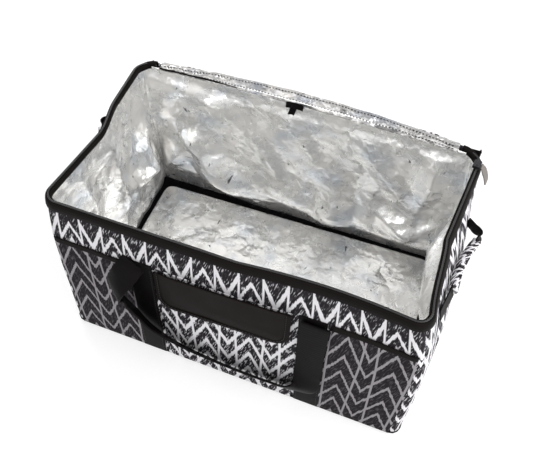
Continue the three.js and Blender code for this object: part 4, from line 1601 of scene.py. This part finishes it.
@dataclass
class Lid:
    """Padded lid that hangs behind the bag, its zip half and the cloth strip that carries it."""

    axis: Pair = (131.0, 258.0)
    swing: float = math.radians(262)
    size: Pair = (430.0, 242.0)
    corner: float = 14.0
    top: float = 263.4
    roll: float = 6.0
    puff: float = 0.9
    puff_size: float = 60.0
    fill: float = 0.7
    cloth: float = 1.0
    cover_grid: tuple[int, int] = (130, 90)
    film: float = 0.7
    film_grid: tuple[int, int] = (140, 80)
    facets: tuple[Triple, ...] = ((4.2, 62.0, 51.0), (2.0, 24.0, 53.0))
    slack: float = 1.0
    slack_size: float = 70.0
    grain: float = 0.3
    grain_size: float = 11.0
    film_z: float = 256.3
    film_apart: float = 3000.0
    film_hold: float = 25.0
    tape_width: float = 12.0
    tape_in: float = 0.2
    tape_wave: float = 0.3
    tape_wave_size: float = 40.0
    tape_z: float = 256.4
    tape: float = 0.8
    columns: int = 240
    teeth: int = 300
    coil_in: float = 1.8
    coil_z: float = 254.4
    coil_round: float = 7.0
    strip: Pair = (-193.0, 188.0)
    strip_wide: float = 40.0
    strip_cloth: float = 0.9
    strip_grid: tuple[int, int] = (200, 28)
    arch_end: float = 0.02
    arch_power: float = 0.8
    held: float = 0.05
    held_power: float = 0.6
    strip_wave_size: float = 34.0
    strip_facet: float = 0.5
    strip_facet_size: float = 13.0
    strip_apart: float = 5000.0
    strip_low: tuple[Pair, ...] = (
        (116.8, 245.0), (117.6, 246.6), (118.8, 247.4), (120.4, 247.9), (122.0, 248.0),
        (125.5, 247.2), (131.0, 244.8), (137.2, 240.0))
    strip_high: tuple[Pair, ...] = (
        (118.2, 248.0), (120.8, 251.4), (124.4, 254.4), (127.6, 256.2), (130.4, 256.6),
        (133.2, 255.2), (136.2, 250.6), (138.4, 243.0))
    stitch_rows: tuple[tuple[str, float], ...] = (("low", 0.16), ("high", 0.46))
    stitch_size: Triple = (2.8, 4.0, 0.7)
    stitch_steps: int = 120
    stitch_lift: float = 0.6
    edge_share: float = 0.3
    edge_from: float = 0.06
    edge_tall: float = 0.17
    edge_taper: float = 0.7
    edge_lift: float = 0.7
    edge_size: Pair = (6.0, 110.0)
    edge_grid: tuple[int, int] = (60, 4)
    edge_cloth: float = 0.6
    bend: Pair = (119.5, 133.5)
    bend_z: float = 250.0
    shy: float = 10.0
    shy_x: Pair = (150.0, 205.0)
    shy_y: float = 60.0
    tee_x: float = -11.0
    tee_bars: tuple[tuple[float, ...], ...] = ((22.0, 244.5, 251.5, 0.0), (8.5, 236.0, 250.0, 1.3))
    tee_slant: float = 0.22
    tee_gap: float = 2.0
    tee_curl: float = 1.4
    tee_wave: float = 0.8
    tee_wave_size: float = 12.0
    tee_cloth: float = 1.2

    def hang(self, point: Vector) -> Vector:
        """Turn a point of the closed lid down to where it hangs."""
        axis = Vector((0, *self.axis))
        return axis + Matrix.Rotation(-self.swing, 3, "X") @ (point - axis)

    def held_back(self, x: float, y: float) -> float:
        """How far the lid's hinge-side corners are drawn in, under the ends of the strip."""
        return self.shy * ease(abs(x), *self.shy_x) * ease(y, self.shy_y, self.size[1] / 2)

    def hung(self, x: float, y: float, z: float) -> Vector:
        """Point of the hanging lid, from its place on the closed lid before it is drawn in."""
        return self.hang(Vector((x, y - self.held_back(x, y), z)))

    def cover(self) -> Piece:
        """Printed cover over the padding, rolled down round its edges."""
        length, depth = self.size

        def place(s: float, t: float) -> Vector:
            x, y = rounded(length, depth, self.corner, s, t)
            edge = min(length / 2 - abs(x), depth / 2 - abs(y))
            short = 1 - clamp(edge / self.roll)
            z = self.top - self.roll * (1 - math.sqrt(1 - short * short))
            wave = 1 + ripple(x, y, 0, self.puff_size, 8.0)
            z += self.puff * ease(edge, 0, self.puff_size) * wave - self.puff
            return self.hung(x, y, z)

        obj = sheet_mesh("lid_cover", *self.cover_grid, place,
                         lambda s, t: rounded(length, depth, self.corner, s, t))
        thicken(obj, self.cloth)
        return dress(obj, "print", "print_cloth", "lid", "lid_panel", "lid_foam")

    def lining(self) -> None:
        """Crushed foil on the inside of the lid."""
        length = self.size[0] - 2 * self.tape_width + 2
        back = self.size[1] / 2 - 1.0
        front = -self.size[1] / 2 + self.tape_width - 1
        depth = back - front

        def place(s: float, t: float) -> Vector:
            x, y = (s - 0.5) * length, mix(front, back, t)
            edge = min(length / 2 - abs(x), y - front, back - y)
            wave = crush(x, y, self.facets)
            wave += self.slack * (1 + ripple(x, y, 0, self.slack_size, 9.0))
            wave += self.grain * ripple(x, y, 0, self.grain_size, 5.0)
            return self.hung(x, y, self.film_z - wave * ease(edge, 0, self.film_hold))

        obj = sheet_mesh("lid_lining_film", *self.film_grid, place,
                         lambda s, t: (s * length + self.film_apart, t * depth))
        thicken(obj, self.film, 1.0)
        dress(obj, "lid_foil", "foil_lining", "lid", "lid_lining")

    def around(self, travel: float, inset: float) -> Pair:
        """Place round the three free sides, from the hinge on the left to the right."""
        back = self.size[1] / 2
        x, down = three_sides(self.size[0] / 2 - inset, self.size[1] - inset,
                              max(self.corner - inset, 1.0), travel)
        return x, back + down

    def zip_half(self) -> None:
        """Tape and teeth round the three free sides of the lid."""
        long = self.size[0] + 2 * self.size[1]

        def flat_tape(s: float, t: float) -> Vector:
            x, y = self.around(t, mix(self.tape_in, self.tape_width, s))
            wave = self.tape_wave * ripple(t * long, 0, 0, self.tape_wave_size)
            return self.hung(x, y, self.tape_z + wave)

        tape = sheet_mesh("lid_tape", 6, self.columns, flat_tape,
                          lambda s, t: (s * self.tape_width, t * long))
        thicken(tape, self.tape, 0.0)
        dress(tape, "tape", "black_tape", "lid", "lid_zip_tape")

        def row(s: float, t: float) -> Vector:
            inwards, up = tooth(s, t, self.teeth)
            x, y = self.around(t, self.coil_in + inwards)
            return self.hung(x, y, self.coil_z + up)

        coil = sheet_mesh("lid_coil_teeth", COIL_SIDES, self.teeth * 2, row,
                          lambda s, t: (s * self.coil_round, t * long), closed=True)
        dress(coil, "coil", "zip_coil", "lid", "lid_zip_coil")

    def strip_point(self, s: float, t: float) -> Vector:
        """Point on the hinge strip, low at its ends and arched in its middle.

        Args:
            s: Share of the way from left to right.
            t: Share of the way from the seam on the back lining to the lid.

        Returns:
            The point.
        """
        way = clamp(s, self.arch_end, 1 - self.arch_end)
        arch = math.sin(math.pi * way) ** self.arch_power
        route = [Vector((0, mix(a[0], b[0], arch), mix(a[1], b[1], arch)))
                 for a, b in zip(self.strip_low, self.strip_high)]
        point = centripetal(route, t)
        x = mix(*self.strip, s)
        free = math.sin(math.pi * clamp(t * (1 + 2 * self.held) - self.held)) ** self.held_power
        across = t * self.strip_wide
        wave = ripple(x, 0, across, self.strip_wave_size, 12.0)
        wave += self.strip_facet * crumple(x, 1.5 * across, self.strip_facet_size, 61)
        return Vector((x, point.y + 0.5 * free * wave, point.z + free * wave))

    def hinge(self) -> None:
        """Foil-faced strip over the back rim, its stitch rows and a black tapering strip at its left
        end, partly the rim's black binding and partly painted shade in the gap under the strip.
        """
        long, wide = self.strip_wide, self.strip[1] - self.strip[0]
        obj = sheet_mesh("hinge_strip_film", *self.strip_grid, self.strip_point,
                         lambda s, t: (s * wide + self.strip_apart, t * long))
        thicken(obj, self.strip_cloth, 0.0)
        apply_modifiers(obj)
        dress(obj, "strip", "foil_lining", None, "lid_hinge_strip")
        self.join(obj)
        lift = Vector((0, -self.stitch_lift, self.stitch_lift))
        steps = self.stitch_steps
        for name, t in self.stitch_rows:
            row = [(self.strip_point(i / steps, t) + lift, lift.normalized())
                   for i in range(2, steps - 1)]
            thread = stitches(f"hinge_stitch_{name}", row, "thread", None, "black_tape",
                              *self.stitch_size)
            self.join(thread)
        # Black tapering strip: partly the rim's black binding, partly painted shade in the gap under
        # the hinge strip.
        edge_wide, edge_long = self.edge_size
        edge = sheet_mesh("hinge_binding_and_shade_tape", *self.edge_grid, self.binding_and_shade_point,
                          lambda s, t: (t * edge_wide, s * edge_long))
        thicken(edge, self.edge_cloth, 0.0)
        apply_modifiers(edge)
        dress(edge, "tape", "black_tape", None)
        self.join(edge)

    def binding_and_shade_point(self, s: float, t: float) -> Vector:
        """Point on the black strip that tapers off along the seam from the left end: partly the rim's
        black binding, partly painted shade under the hinge strip.
        """
        tall = self.edge_tall * t * (1 - s) ** self.edge_taper
        point = self.strip_point(s * self.edge_share, self.edge_from + tall)
        return point + Vector((0, -self.edge_lift, self.edge_lift))

    def join(self, obj: Piece) -> None:
        """Bake a piece of the strip's place into its mesh; the ends of the bend line are worked out
        but not used.
        """
        start, end = ((0, y * MM, self.bend_z * MM) for y in self.bend)
        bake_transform(obj)
        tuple(start)
        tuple(end)

    def tee(self) -> None:
        """Small tee-shaped webbing tab on the inside of the back rim."""
        walls = Walls()
        bm = bmesh.new()
        layer = bm.loops.layers.uv.new(UV)
        for wide, low, high, lift in self.tee_bars:
            made = bmesh.ops.create_grid(bm, x_segments=8, y_segments=6, size=0.5)["verts"]
            for vert in made:
                z = mix(low, high, vert.co.y + 0.5)
                x = vert.co.x * wide + (self.tee_slant * (z - high) if lift else 0.0)
                inside = FORM.half_depth(FORM.share(z)) - walls.inset(z) - self.tee_gap
                inside += walls.seam_lean * max(0.0, z - walls.seam_start)
                curl = self.tee_curl * (2 * vert.co.x) ** 2
                curl += self.tee_wave * ripple(x, 0, z, self.tee_wave_size)
                vert.co = Vector((self.tee_x + x, inside - lift - curl, z)) * MM
        for face in bm.faces:
            for loop in face.loops:
                loop[layer].uv = (loop.vert.co.x, loop.vert.co.z)
        obj = thicken(mesh_object("rim_tee_tab", bm), self.tee_cloth, 1.0, self.tee_cloth / 4)
        dress(obj, "webbing", "webbing", "bag", "rim_tab")

    def build(self) -> None:
        """Make the lid and what carries it."""
        self.cover()
        self.lining()
        self.zip_half()
        self.hinge()
        self.tee()


@dataclass
class CarryHandles:
    """Webbing sewn down the front and the back, and the two loops that come out of it."""

    width: float = 32.0
    thickness: float = 2.0
    cup: float = 0.6
    loop_rows: int = 150
    sewn_rows: int = 60
    sewn: float = 1.4
    sewn_gap: float = 0.35
    stitch_x: float = 13.4
    stitch_foot: int = 6
    stitch_step: int = 4
    strap_x: float = 101.0
    seam: float = 193.0
    foot: float = 3.0
    out: float = 3.2
    lean: tuple[Pair, ...] = ((-4.0, -5.0), (4.0, -4.0))
    soft_start: float = 2.0
    soft_end: float = 78.0
    back_start: float = 3.0
    back_drop: float = 150.0
    back_turn: float = 42.0
    front: tuple[tuple[float, ...], ...] = (
        (-109, 5.0, 195, 1, 0, 0),
        (-112, 12, 191, 1, -0.05, 0.1),
        (-119, 20, 180, 0.97, -0.15, 0.15),
        (-126, 25, 167, 0.85, -0.4, 0.3),
        (-129, 24, 156, 0.5, -0.5, 0.7),
        (-126, 20, 141, 0.25, -0.48, 0.84),
        (-114, 15, 110, 0.2, -0.48, 0.85),
        (-94, 13, 78, 0.2, -0.48, 0.85),
        (-62, 12, 58, 0.2, -0.45, 0.87),
        (-24, 12, 50, 0.15, -0.42, 0.89),
        (16, 12, 46, 0.1, -0.4, 0.9),
        (56, 12, 46, -0.05, -0.4, 0.9),
        (84, 12, 49, -0.3, -0.35, 0.86),
        (101, 10, 60, -0.9, -0.15, 0.3),
        (102, 5.2, 84, -1, 0, 0),
        (101, 3.2, 130, -1, 0, 0),
        (101, 3.2, 190, -1, 0, 0),
    )

    def sewn_strap(self, side: Side, name: str, sign: int) -> None:
        """One strap sewn flat on the wall, with a stitch row along each edge."""
        tall = self.seam - self.foot
        way = 1 if side is Side.FRONT else -1
        low, high = self.lean[(sign + 1) // 2] if side is Side.FRONT else (0.0, 0.0)
        out = self.sewn_gap + self.sewn

        def middle(z: float) -> float:
            return sign * self.strap_x + mix(low, high, (z - self.foot) / tall)

        def place(s: float, t: float) -> Vector:
            z = mix(self.foot, self.seam, t)
            return FORM.face(side, middle(z) + (s - 0.5) * self.width * way, z, out)

        label = f"{side.label}_strap_{name}"
        obj = sheet_mesh(f"{label}_webbing", STRAP_COLUMNS, self.sewn_rows, place,
                         lambda s, t: (s * self.width, t * tall))
        thicken(obj, self.sewn, -1.0, self.sewn / 4)
        dress(obj, "webbing", "webbing", "bag", label)
        for edge, label_edge in ((-self.stitch_x, "a"), (self.stitch_x, "b")):
            row = [(FORM.face(side, middle(z) + edge, z, out), side.outward)
                   for z in range(self.stitch_foot, int(self.seam) - 4, self.stitch_step)]
            stitches(f"{label}_stitch_{label_edge}", row, "thread", "bag", "black_tape")

    def front_route(self) -> Route:
        """The front loop: out of the left seam, round below and flat up the right."""
        points = []
        for x, out, z, *_ in self.front:
            points.append(Vector((x, -FORM.half_depth(FORM.share(z)) - out, z)))
        return Route(tuple(points), tuple(Vector(row[3:]) for row in self.front))

    def back_route(self) -> Route:
        """The back loop: even, flat between the back wall and the lid."""
        turn_x = self.strap_x - self.back_turn
        turn_z = self.seam - self.back_drop + self.back_turn
        spots = [(self.strap_x, self.seam - self.back_start, 180),
                 (self.strap_x, (self.seam + turn_z) / 2, 180)]
        for angle in (180, 210, 240, 270):
            way = math.radians(angle)
            spots.append((turn_x - self.back_turn * math.cos(way),
                          turn_z + self.back_turn * math.sin(way), angle))
        spots.append((0, self.seam - self.back_drop, 270))
        spots += [(-x, z, 540 - angle) for x, z, angle in reversed(spots[:-1])]
        points, across = [], []
        for x, z, angle in spots:
            way = math.radians(angle)
            points.append(Vector((x, FORM.half_depth(FORM.share(z)) + self.out, z)))
            low = z - math.sin(way)
            across.append(Vector((math.cos(way), FORM.half_depth(FORM.share(low)) - FORM.half_depth(
                FORM.share(z)), low - z)))
        return Route(tuple(points), tuple(across))

    def build(self) -> None:
        """Make straps and loops."""
        for side in (Side.FRONT, Side.BACK):
            for name, sign in (("left", -1), ("right", 1)):
                self.sewn_strap(side, name, sign)
        for name, route in (("front", self.front_route()), ("back", self.back_route())):
            obj = route.strap(f"{name}_handle_webbing", self.width, self.thickness,
                              self.loop_rows, self.cup)
            apply_modifiers(obj)
            dress(obj, "webbing", "webbing", None, f"{name}_handle")
            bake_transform(obj)
            route.length() * MM


@dataclass
class FrontPockets:
    """Two mesh pockets with bound tops, the centre pocket and its padded flap."""

    foot: float = 3.5
    seam: float = 193.0
    inner: float = 117.6
    outer: float = 213.0
    cloth: float = 1.0
    cloth_out: float = 1.7
    step: float = 4.0
    puff_over: float = 1.1
    puff_size: float = 45.0
    mesh_puff: float = 0.8
    binding: tuple[Pair, ...] = ((187.5, 185.5), (193.5, 193.5))
    binding_tall: float = 8.5
    binding_out: float = 2.4
    binding_cloth: float = 1.6
    below: float = 2.0
    centre_half: float = 84.4
    centre_puff: float = 0.3
    pile_x: float = 30.0
    pile_z: Pair = (137.0, 157.0)
    pile: float = 0.9
    loop_out: float = 2.9
    hook_out: float = 4.2
    flap_x: float = -5.0
    flap_slope: float = 0.045
    flap_lift: float = 3.0
    flap_half: float = 80.0
    flap_height: float = 66.0
    flap_corner: float = 22.0
    flap_out: float = 4.7
    flap_grid: tuple[int, int] = (60, 30)
    flap_crowd: Pair = (0.08, 0.06)
    flap_fill: float = 0.35
    flap_wave: float = 0.5
    flap_wave_size: float = 40.0
    edge_size: Pair = (14.0, 290.0)
    edge_rows: int = 120
    edge_cloth: float = 0.6
    stitch_steps: int = 60
    flap_pad: float = 1.6
    flap_face: float = 2.0
    flap_crown: float = 1.7
    flap_roll: Pair = (3.0, 22.0)
    stitch_in: float = 4.6
    stitch_out: float = 2.9

    def patch(self, name: str, x0: float, x1: float, z0: float, z1: float, out: float,
              thickness: float, puff: float = 0.0, slope: float = 0.0) -> Piece:
        """A flat piece sewn on the front.

        Args:
            name: Name of the piece.
            x0, x1, z0, z1: Its edges.
            out: How far its face stands out of the wall.
            thickness: Its thickness, inwards.
            puff: How far its middle stands out further.
            slope: How much higher its right end is than its left.

        Returns:
            The piece as an object.
        """
        columns = round((x1 - x0) / self.step)
        rows = max(3, round((z1 - z0) / self.step))

        def place(s: float, t: float) -> Vector:
            x, z = mix(x0, x1, s), mix(z0, z1, t) + slope * s
            up = min(1.0, t * self.puff_over)
            swell = puff * math.sin(math.pi * s) * math.sin(math.pi * up)
            swell *= 1 + ripple(x, 0, z, self.puff_size, 15.0)
            return FORM.face(Side.FRONT, x, z, out + swell)

        obj = sheet_mesh(name, columns, rows, place,
                         lambda s, t: (mix(x0, x1, s), mix(z0, z1, t)))
        return thicken(obj, thickness, -1.0, thickness / 3)

    def flap_point(self, s: float, t: float) -> Triple:
        """Place in the flap's outline: x, z and the distance to its free edge."""
        half, tall, r = self.flap_half, self.flap_height, self.flap_corner
        down = (1 - crowd(t, self.flap_crowd[1])) * tall
        over = max(0.0, down - (tall - r))
        width = half - r + math.sqrt(max(0.0, r * r - over * over))
        x = (2 * crowd(s, self.flap_crowd[0]) - 1) * width
        return x, self.seam - down, min(width - abs(x), tall - down)

    def flap(self) -> None:
        """Padded flap with its bound edge."""
        lean = (FORM.base[1] - FORM.rim[1]) / 2 / FORM.wall_top
        depth = FORM.half_depth(FORM.share(self.seam))

        def surface(x: float, z: float, out: float) -> Vector:
            z += x * self.flap_slope + self.flap_lift
            return Vector((x + self.flap_x, -depth - out - (self.seam - z) * lean, z))

        def place(s: float, t: float) -> Vector:
            x, z, edge = self.flap_point(s, t)
            crown = self.flap_crown * ease(edge, *self.flap_roll)
            crown += self.flap_wave * ripple(x, 0, z, self.flap_wave_size, 17.0)
            return surface(x, z, self.flap_out + self.flap_face + crown)

        obj = sheet_mesh("pocket_flap_pad", *self.flap_grid, place,
                         lambda s, t: self.flap_point(s, t)[:2])
        thicken(obj, self.flap_pad)
        dress(obj, "flap", "flap_cloth", "pocket_flap", "pocket_flap")

        def rim(t: float, inset: float, out: float) -> Vector:
            x, down = three_sides(self.flap_half - inset, self.flap_height - inset,
                                  self.flap_corner - inset, t)
            return surface(x, self.seam + down, self.flap_out + out)

        # Inset and distance outwards of each point, from the outer face round to the inner.
        section = [(6.0, 2.7), (3.0, 2.8), (0.6, 2.6), (-0.5, 1.6), (0.4, 0.5), (4.0, 0.3)]
        wide, long = self.edge_size
        edge = sheet_mesh("pocket_flap_binding", len(section) - 1, self.edge_rows,
                          lambda s, t: rim(t, *profile(section, s)),
                          lambda s, t: (s * wide, t * long))
        thicken(edge, self.edge_cloth)
        dress(edge, "tape", "black_tape", "pocket_flap")
        row = [(rim(i / self.stitch_steps, self.stitch_in, self.stitch_out), Side.FRONT.outward)
               for i in range(self.stitch_steps + 1)]
        stitches("pocket_flap_stitch", row, "thread", "pocket_flap", "black_tape")

    def build(self) -> None:
        """Make the pockets and the flap."""
        for (name, sign), ends in zip((("left", -1), ("right", 1)), self.binding):
            x0, x1 = sorted((sign * self.inner, sign * self.outer))
            top = min(ends) - self.below
            pocket = self.patch(f"mesh_pocket_{name}_net", x0, x1, self.foot, top, self.cloth_out,
                                self.cloth, self.mesh_puff)
            dress(pocket, "mesh", "pocket_mesh", "bag", f"mesh_pocket_{name}")
            low, high = ends[0] - self.binding_tall, ends[0]
            binding = self.patch(f"pocket_binding_{name}_tape", x0, x1, low, high,
                                 self.binding_out, self.binding_cloth, 0.0, ends[1] - ends[0])
            dress(binding, "tape", "black_tape", "bag", f"pocket_binding_{name}")
        half, top = self.centre_half, self.seam - self.below
        centre = self.patch("centre_pocket_cloth", -half, half, self.foot, top, self.cloth_out,
                            self.cloth, self.centre_puff)
        dress(centre, "print", "print_cloth", "bag", "centre_pocket")
        for name, body, node, out in (
            ("pocket_loop_pile", "bag", "pocket_loop_patch", self.loop_out),
            ("flap_hook_pile", "pocket_flap", "flap_hook_patch", self.hook_out),
        ):
            pile = self.patch(name, -self.pile_x, self.pile_x, *self.pile_z, out, self.pile)
            dress(pile, "pile", "black_tape", body, node)
        self.flap()


@dataclass
class GrabHandles:
    """Rolled cloth tube on each side, between two webbing tabs."""

    fill: float = 0.9
    tube: float = 5.5
    tube_grid: tuple[int, int] = (28, 70)
    tube_mean: float = 0.95
    tube_wrap: float = 0.04
    wrap_turns: float = 9.0
    tube_uneven: float = 0.06
    uneven_size: float = 9.0
    uneven_ring: float = 10.0
    tube_round: float = 35.0
    weave_slant: float = 0.6
    tab_width: float = 17.0
    tab_cloth: float = 1.5
    tab_rows: int = 24
    twist: float = 28.0
    route: tuple[Triple, ...] = (
        (36, 15.5, 200), (23, 9.6, 197), (5, 7, 200), (-14, 6.6, 206), (-31, 6.6, 210),
        (-46, 6.6, 211))
    tabs: dict[str, tuple[Triple, ...]] = field(default_factory=lambda: {
        "back": ((52, 1.0, 210), (47, 9, 208), (42, 17.5, 204), (34.5, 15.8, 199.4)),
        "front": ((-80, 1.8, 210), (-66, 3.5, 210), (-50, 5.5, 210), (-43, 6.4, 210.6)),
    })

    @staticmethod
    def point(sign: int, y: float, out: float, z: float) -> Vector:
        """Place beside a side wall."""
        h = FORM.share(z)
        x = sign * (FORM.half_length(h) + FORM.stand_out(sign, y, h) + out)
        point = Vector((x, y, z))
        return FORM.settle(point) if sign > 0 else point

    def build(self) -> None:
        """Make both grab handles."""
        step = 0.01
        for name, sign in (("left", -1), ("right", 1)):
            path = [self.point(sign, y, out, z) for y, out, z in self.route]
            long = sum((b - a).length for a, b in zip(path, path[1:]))

            def place(s: float, t: float) -> Vector:
                centre = centripetal(path, t)
                ahead = (centripetal(path, min(t + step, 1)) - centripetal(
                    path, max(t - step, 0))).normalized()
                side = ahead.cross(Vector((0, 0, 1))).normalized()
                up = side.cross(ahead)
                angle = 2 * math.pi * s
                cosine, sine = math.cos(angle), math.sin(angle)
                wrap = self.tube_wrap * math.cos(angle + t * self.wrap_turns)
                rough = self.tube_uneven * ripple(
                    self.uneven_ring * cosine, self.uneven_ring * sine, t * long,
                    self.uneven_size, 20.0)
                thick = self.tube * (self.tube_mean + wrap + rough)
                return centre + (side * cosine + up * sine) * thick

            tube = sheet_mesh(f"grab_tube_{name}", *self.tube_grid, place,
                              lambda s, t: (s * self.tube_round + t * long * self.weave_slant,
                                            t * long), closed=True)
            dress(tube, "rolled", "print_cloth", None, f"grab_handle_{name}")
            end_y = self.route[-1][0]
            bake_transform(tube)
            for end, spots in self.tabs.items():
                points, across = [], []
                for y, out, z in spots:
                    points.append(self.point(sign, y, out, z))
                    across.append(self.point(sign, y, 0, z + 1) - self.point(sign, y, 0, z - 1))
                route = Route(tuple(points), tuple(across))
                tab = route.strap(f"grab_tab_{name}_{end}_webbing", self.tab_width, self.tab_cloth,
                                  self.tab_rows)
                dress(tab, "webbing", "webbing", "bag", f"grab_tab_{name}_{end}")


@dataclass
class Studio:
    """Camera at the photograph's angle, pale floor and soft light."""

    focal: float = 639.4
    frame_width: float = 535.0
    azimuth: float = math.radians(19.56)
    elevation: float = math.radians(54.2)
    roll: float = math.radians(1.67)
    eye: Triple = (156.3, -439.5, 781.7)
    sensor: float = 36.0
    world_light: float = 0.5
    floor_share: float = 0.5
    floor_lit: float = 0.84
    floor_plain: float = 0.8
    floor_half: float = 6.0
    floor_z: float = -0.0002
    lamp_aim: Triple = (0.0, 0.0, 0.12)
    lamps: tuple[tuple[str, Triple, float, float], ...] = (
        ("key", (1.7, -0.2, 1.3), 2.0, 40.0),
        ("fill", (-0.4, -1.3, 1.6), 1.6, 12.0),
        ("back", (-1.3, 1.3, 1.2), 0.9, 14.0),
    )

    def camera(self) -> None:
        """Place the camera."""
        back = Vector((math.sin(self.azimuth) * math.cos(self.elevation),
                       -math.cos(self.azimuth) * math.cos(self.elevation),
                       math.sin(self.elevation)))
        right = Vector((math.cos(self.azimuth), math.sin(self.azimuth), 0))
        up = back.cross(right)
        x = right * math.cos(self.roll) + up * math.sin(self.roll)
        y = up * math.cos(self.roll) - right * math.sin(self.roll)
        data = bpy.data.cameras.new("camera")
        data.sensor_width = self.sensor
        data.sensor_fit = "HORIZONTAL"
        data.lens = self.focal / self.frame_width * self.sensor
        data.clip_start = 0.01
        obj = bpy.data.objects.new("camera", data)
        turn = Matrix((x, y, back)).transposed().to_4x4()
        obj.matrix_world = Matrix.Translation(Vector(self.eye) * MM) @ turn
        bpy.context.scene.collection.objects.link(obj)
        bpy.context.scene.camera = obj

    @staticmethod
    def seen(tree: Tree) -> Socket:
        """Share that is 1 for rays from the camera, mirrors and clear things."""
        path = add_node(tree, "LightPath", out="Is Camera Ray")
        both = calc(tree, "MAXIMUM", path, path.node.outputs["Is Glossy Ray"])
        return calc(tree, "MAXIMUM", both, path.node.outputs["Is Transmission Ray"])

    def floor(self) -> None:
        """White paper floor that keeps the bag's shadow."""
        bm = bmesh.new()
        bmesh.ops.create_grid(bm, x_segments=1, y_segments=1, size=self.floor_half)
        obj = mesh_object("floor", bm)
        obj.location.z = self.floor_z
        material = bpy.data.materials.new("white paper sweep")
        material.use_nodes = True
        tree = material.node_tree
        tree.nodes.clear()
        share = self.floor_share
        paper = add_node(tree, "BsdfDiffuse", (share, share, share, 1.0))
        glow = add_node(tree, "Emission", (1.0, 1.0, 1.0, 1.0), 1.0 - share * self.floor_lit)
        shown = add_node(tree, "AddShader", paper, glow)
        plain = add_node(tree, "BsdfDiffuse", (*(self.floor_plain,) * 3, 1.0))
        surface = add_node(tree, "MixShader", self.seen(tree), plain, shown)
        output = tree.nodes.new("ShaderNodeOutputMaterial")
        tree.links.new(surface, output.inputs[0])
        obj.data.materials.append(material)

    def world(self) -> None:
        """Even white surroundings."""
        world = bpy.data.worlds.new("white room")
        bpy.context.scene.world = world
        world.use_nodes = True
        tree = world.node_tree
        tree.nodes.clear()
        strength = add_node(tree, "MapRange", self.seen(tree), 0.0, 1.0, self.world_light, 1.0)
        shown = add_node(tree, "Background", (1.0, 1.0, 1.0, 1.0), strength)
        out = tree.nodes.new("ShaderNodeOutputWorld")
        tree.links.new(shown, out.inputs[0])

    def lamp(self, name: str, spot: Triple, size: float, power: float) -> None:
        """A square soft box that faces the bag, in metres and watts."""
        data = bpy.data.lights.new(name, "AREA")
        data.energy = power
        data.size = size
        obj = bpy.data.objects.new(name, data)
        aim = Vector(self.lamp_aim) - Vector(spot)
        turn = aim.to_track_quat("-Z", "Y").to_matrix().to_4x4()
        obj.matrix_world = Matrix.Translation(spot) @ turn
        bpy.context.scene.collection.objects.link(obj)

    def build(self) -> None:
        """Set up camera, floor and light."""
        bpy.context.scene.view_settings.view_transform = "Standard"
        self.camera()
        self.floor()
        self.world()
        for lamp in self.lamps:
            self.lamp(*lamp)


def main() -> None:
    """Load the frame and build every sub-assembly."""
    logging.basicConfig(level=logging.INFO)
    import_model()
    Studio().build()
    for part in (Walls(), Base(), RimZip(), Lid(), CarryHandles(), FrontPockets(), GrabHandles()):
        part.build()
        LOG.info("built %s", type(part).__name__)


if __name__ == "__main__":
    main()
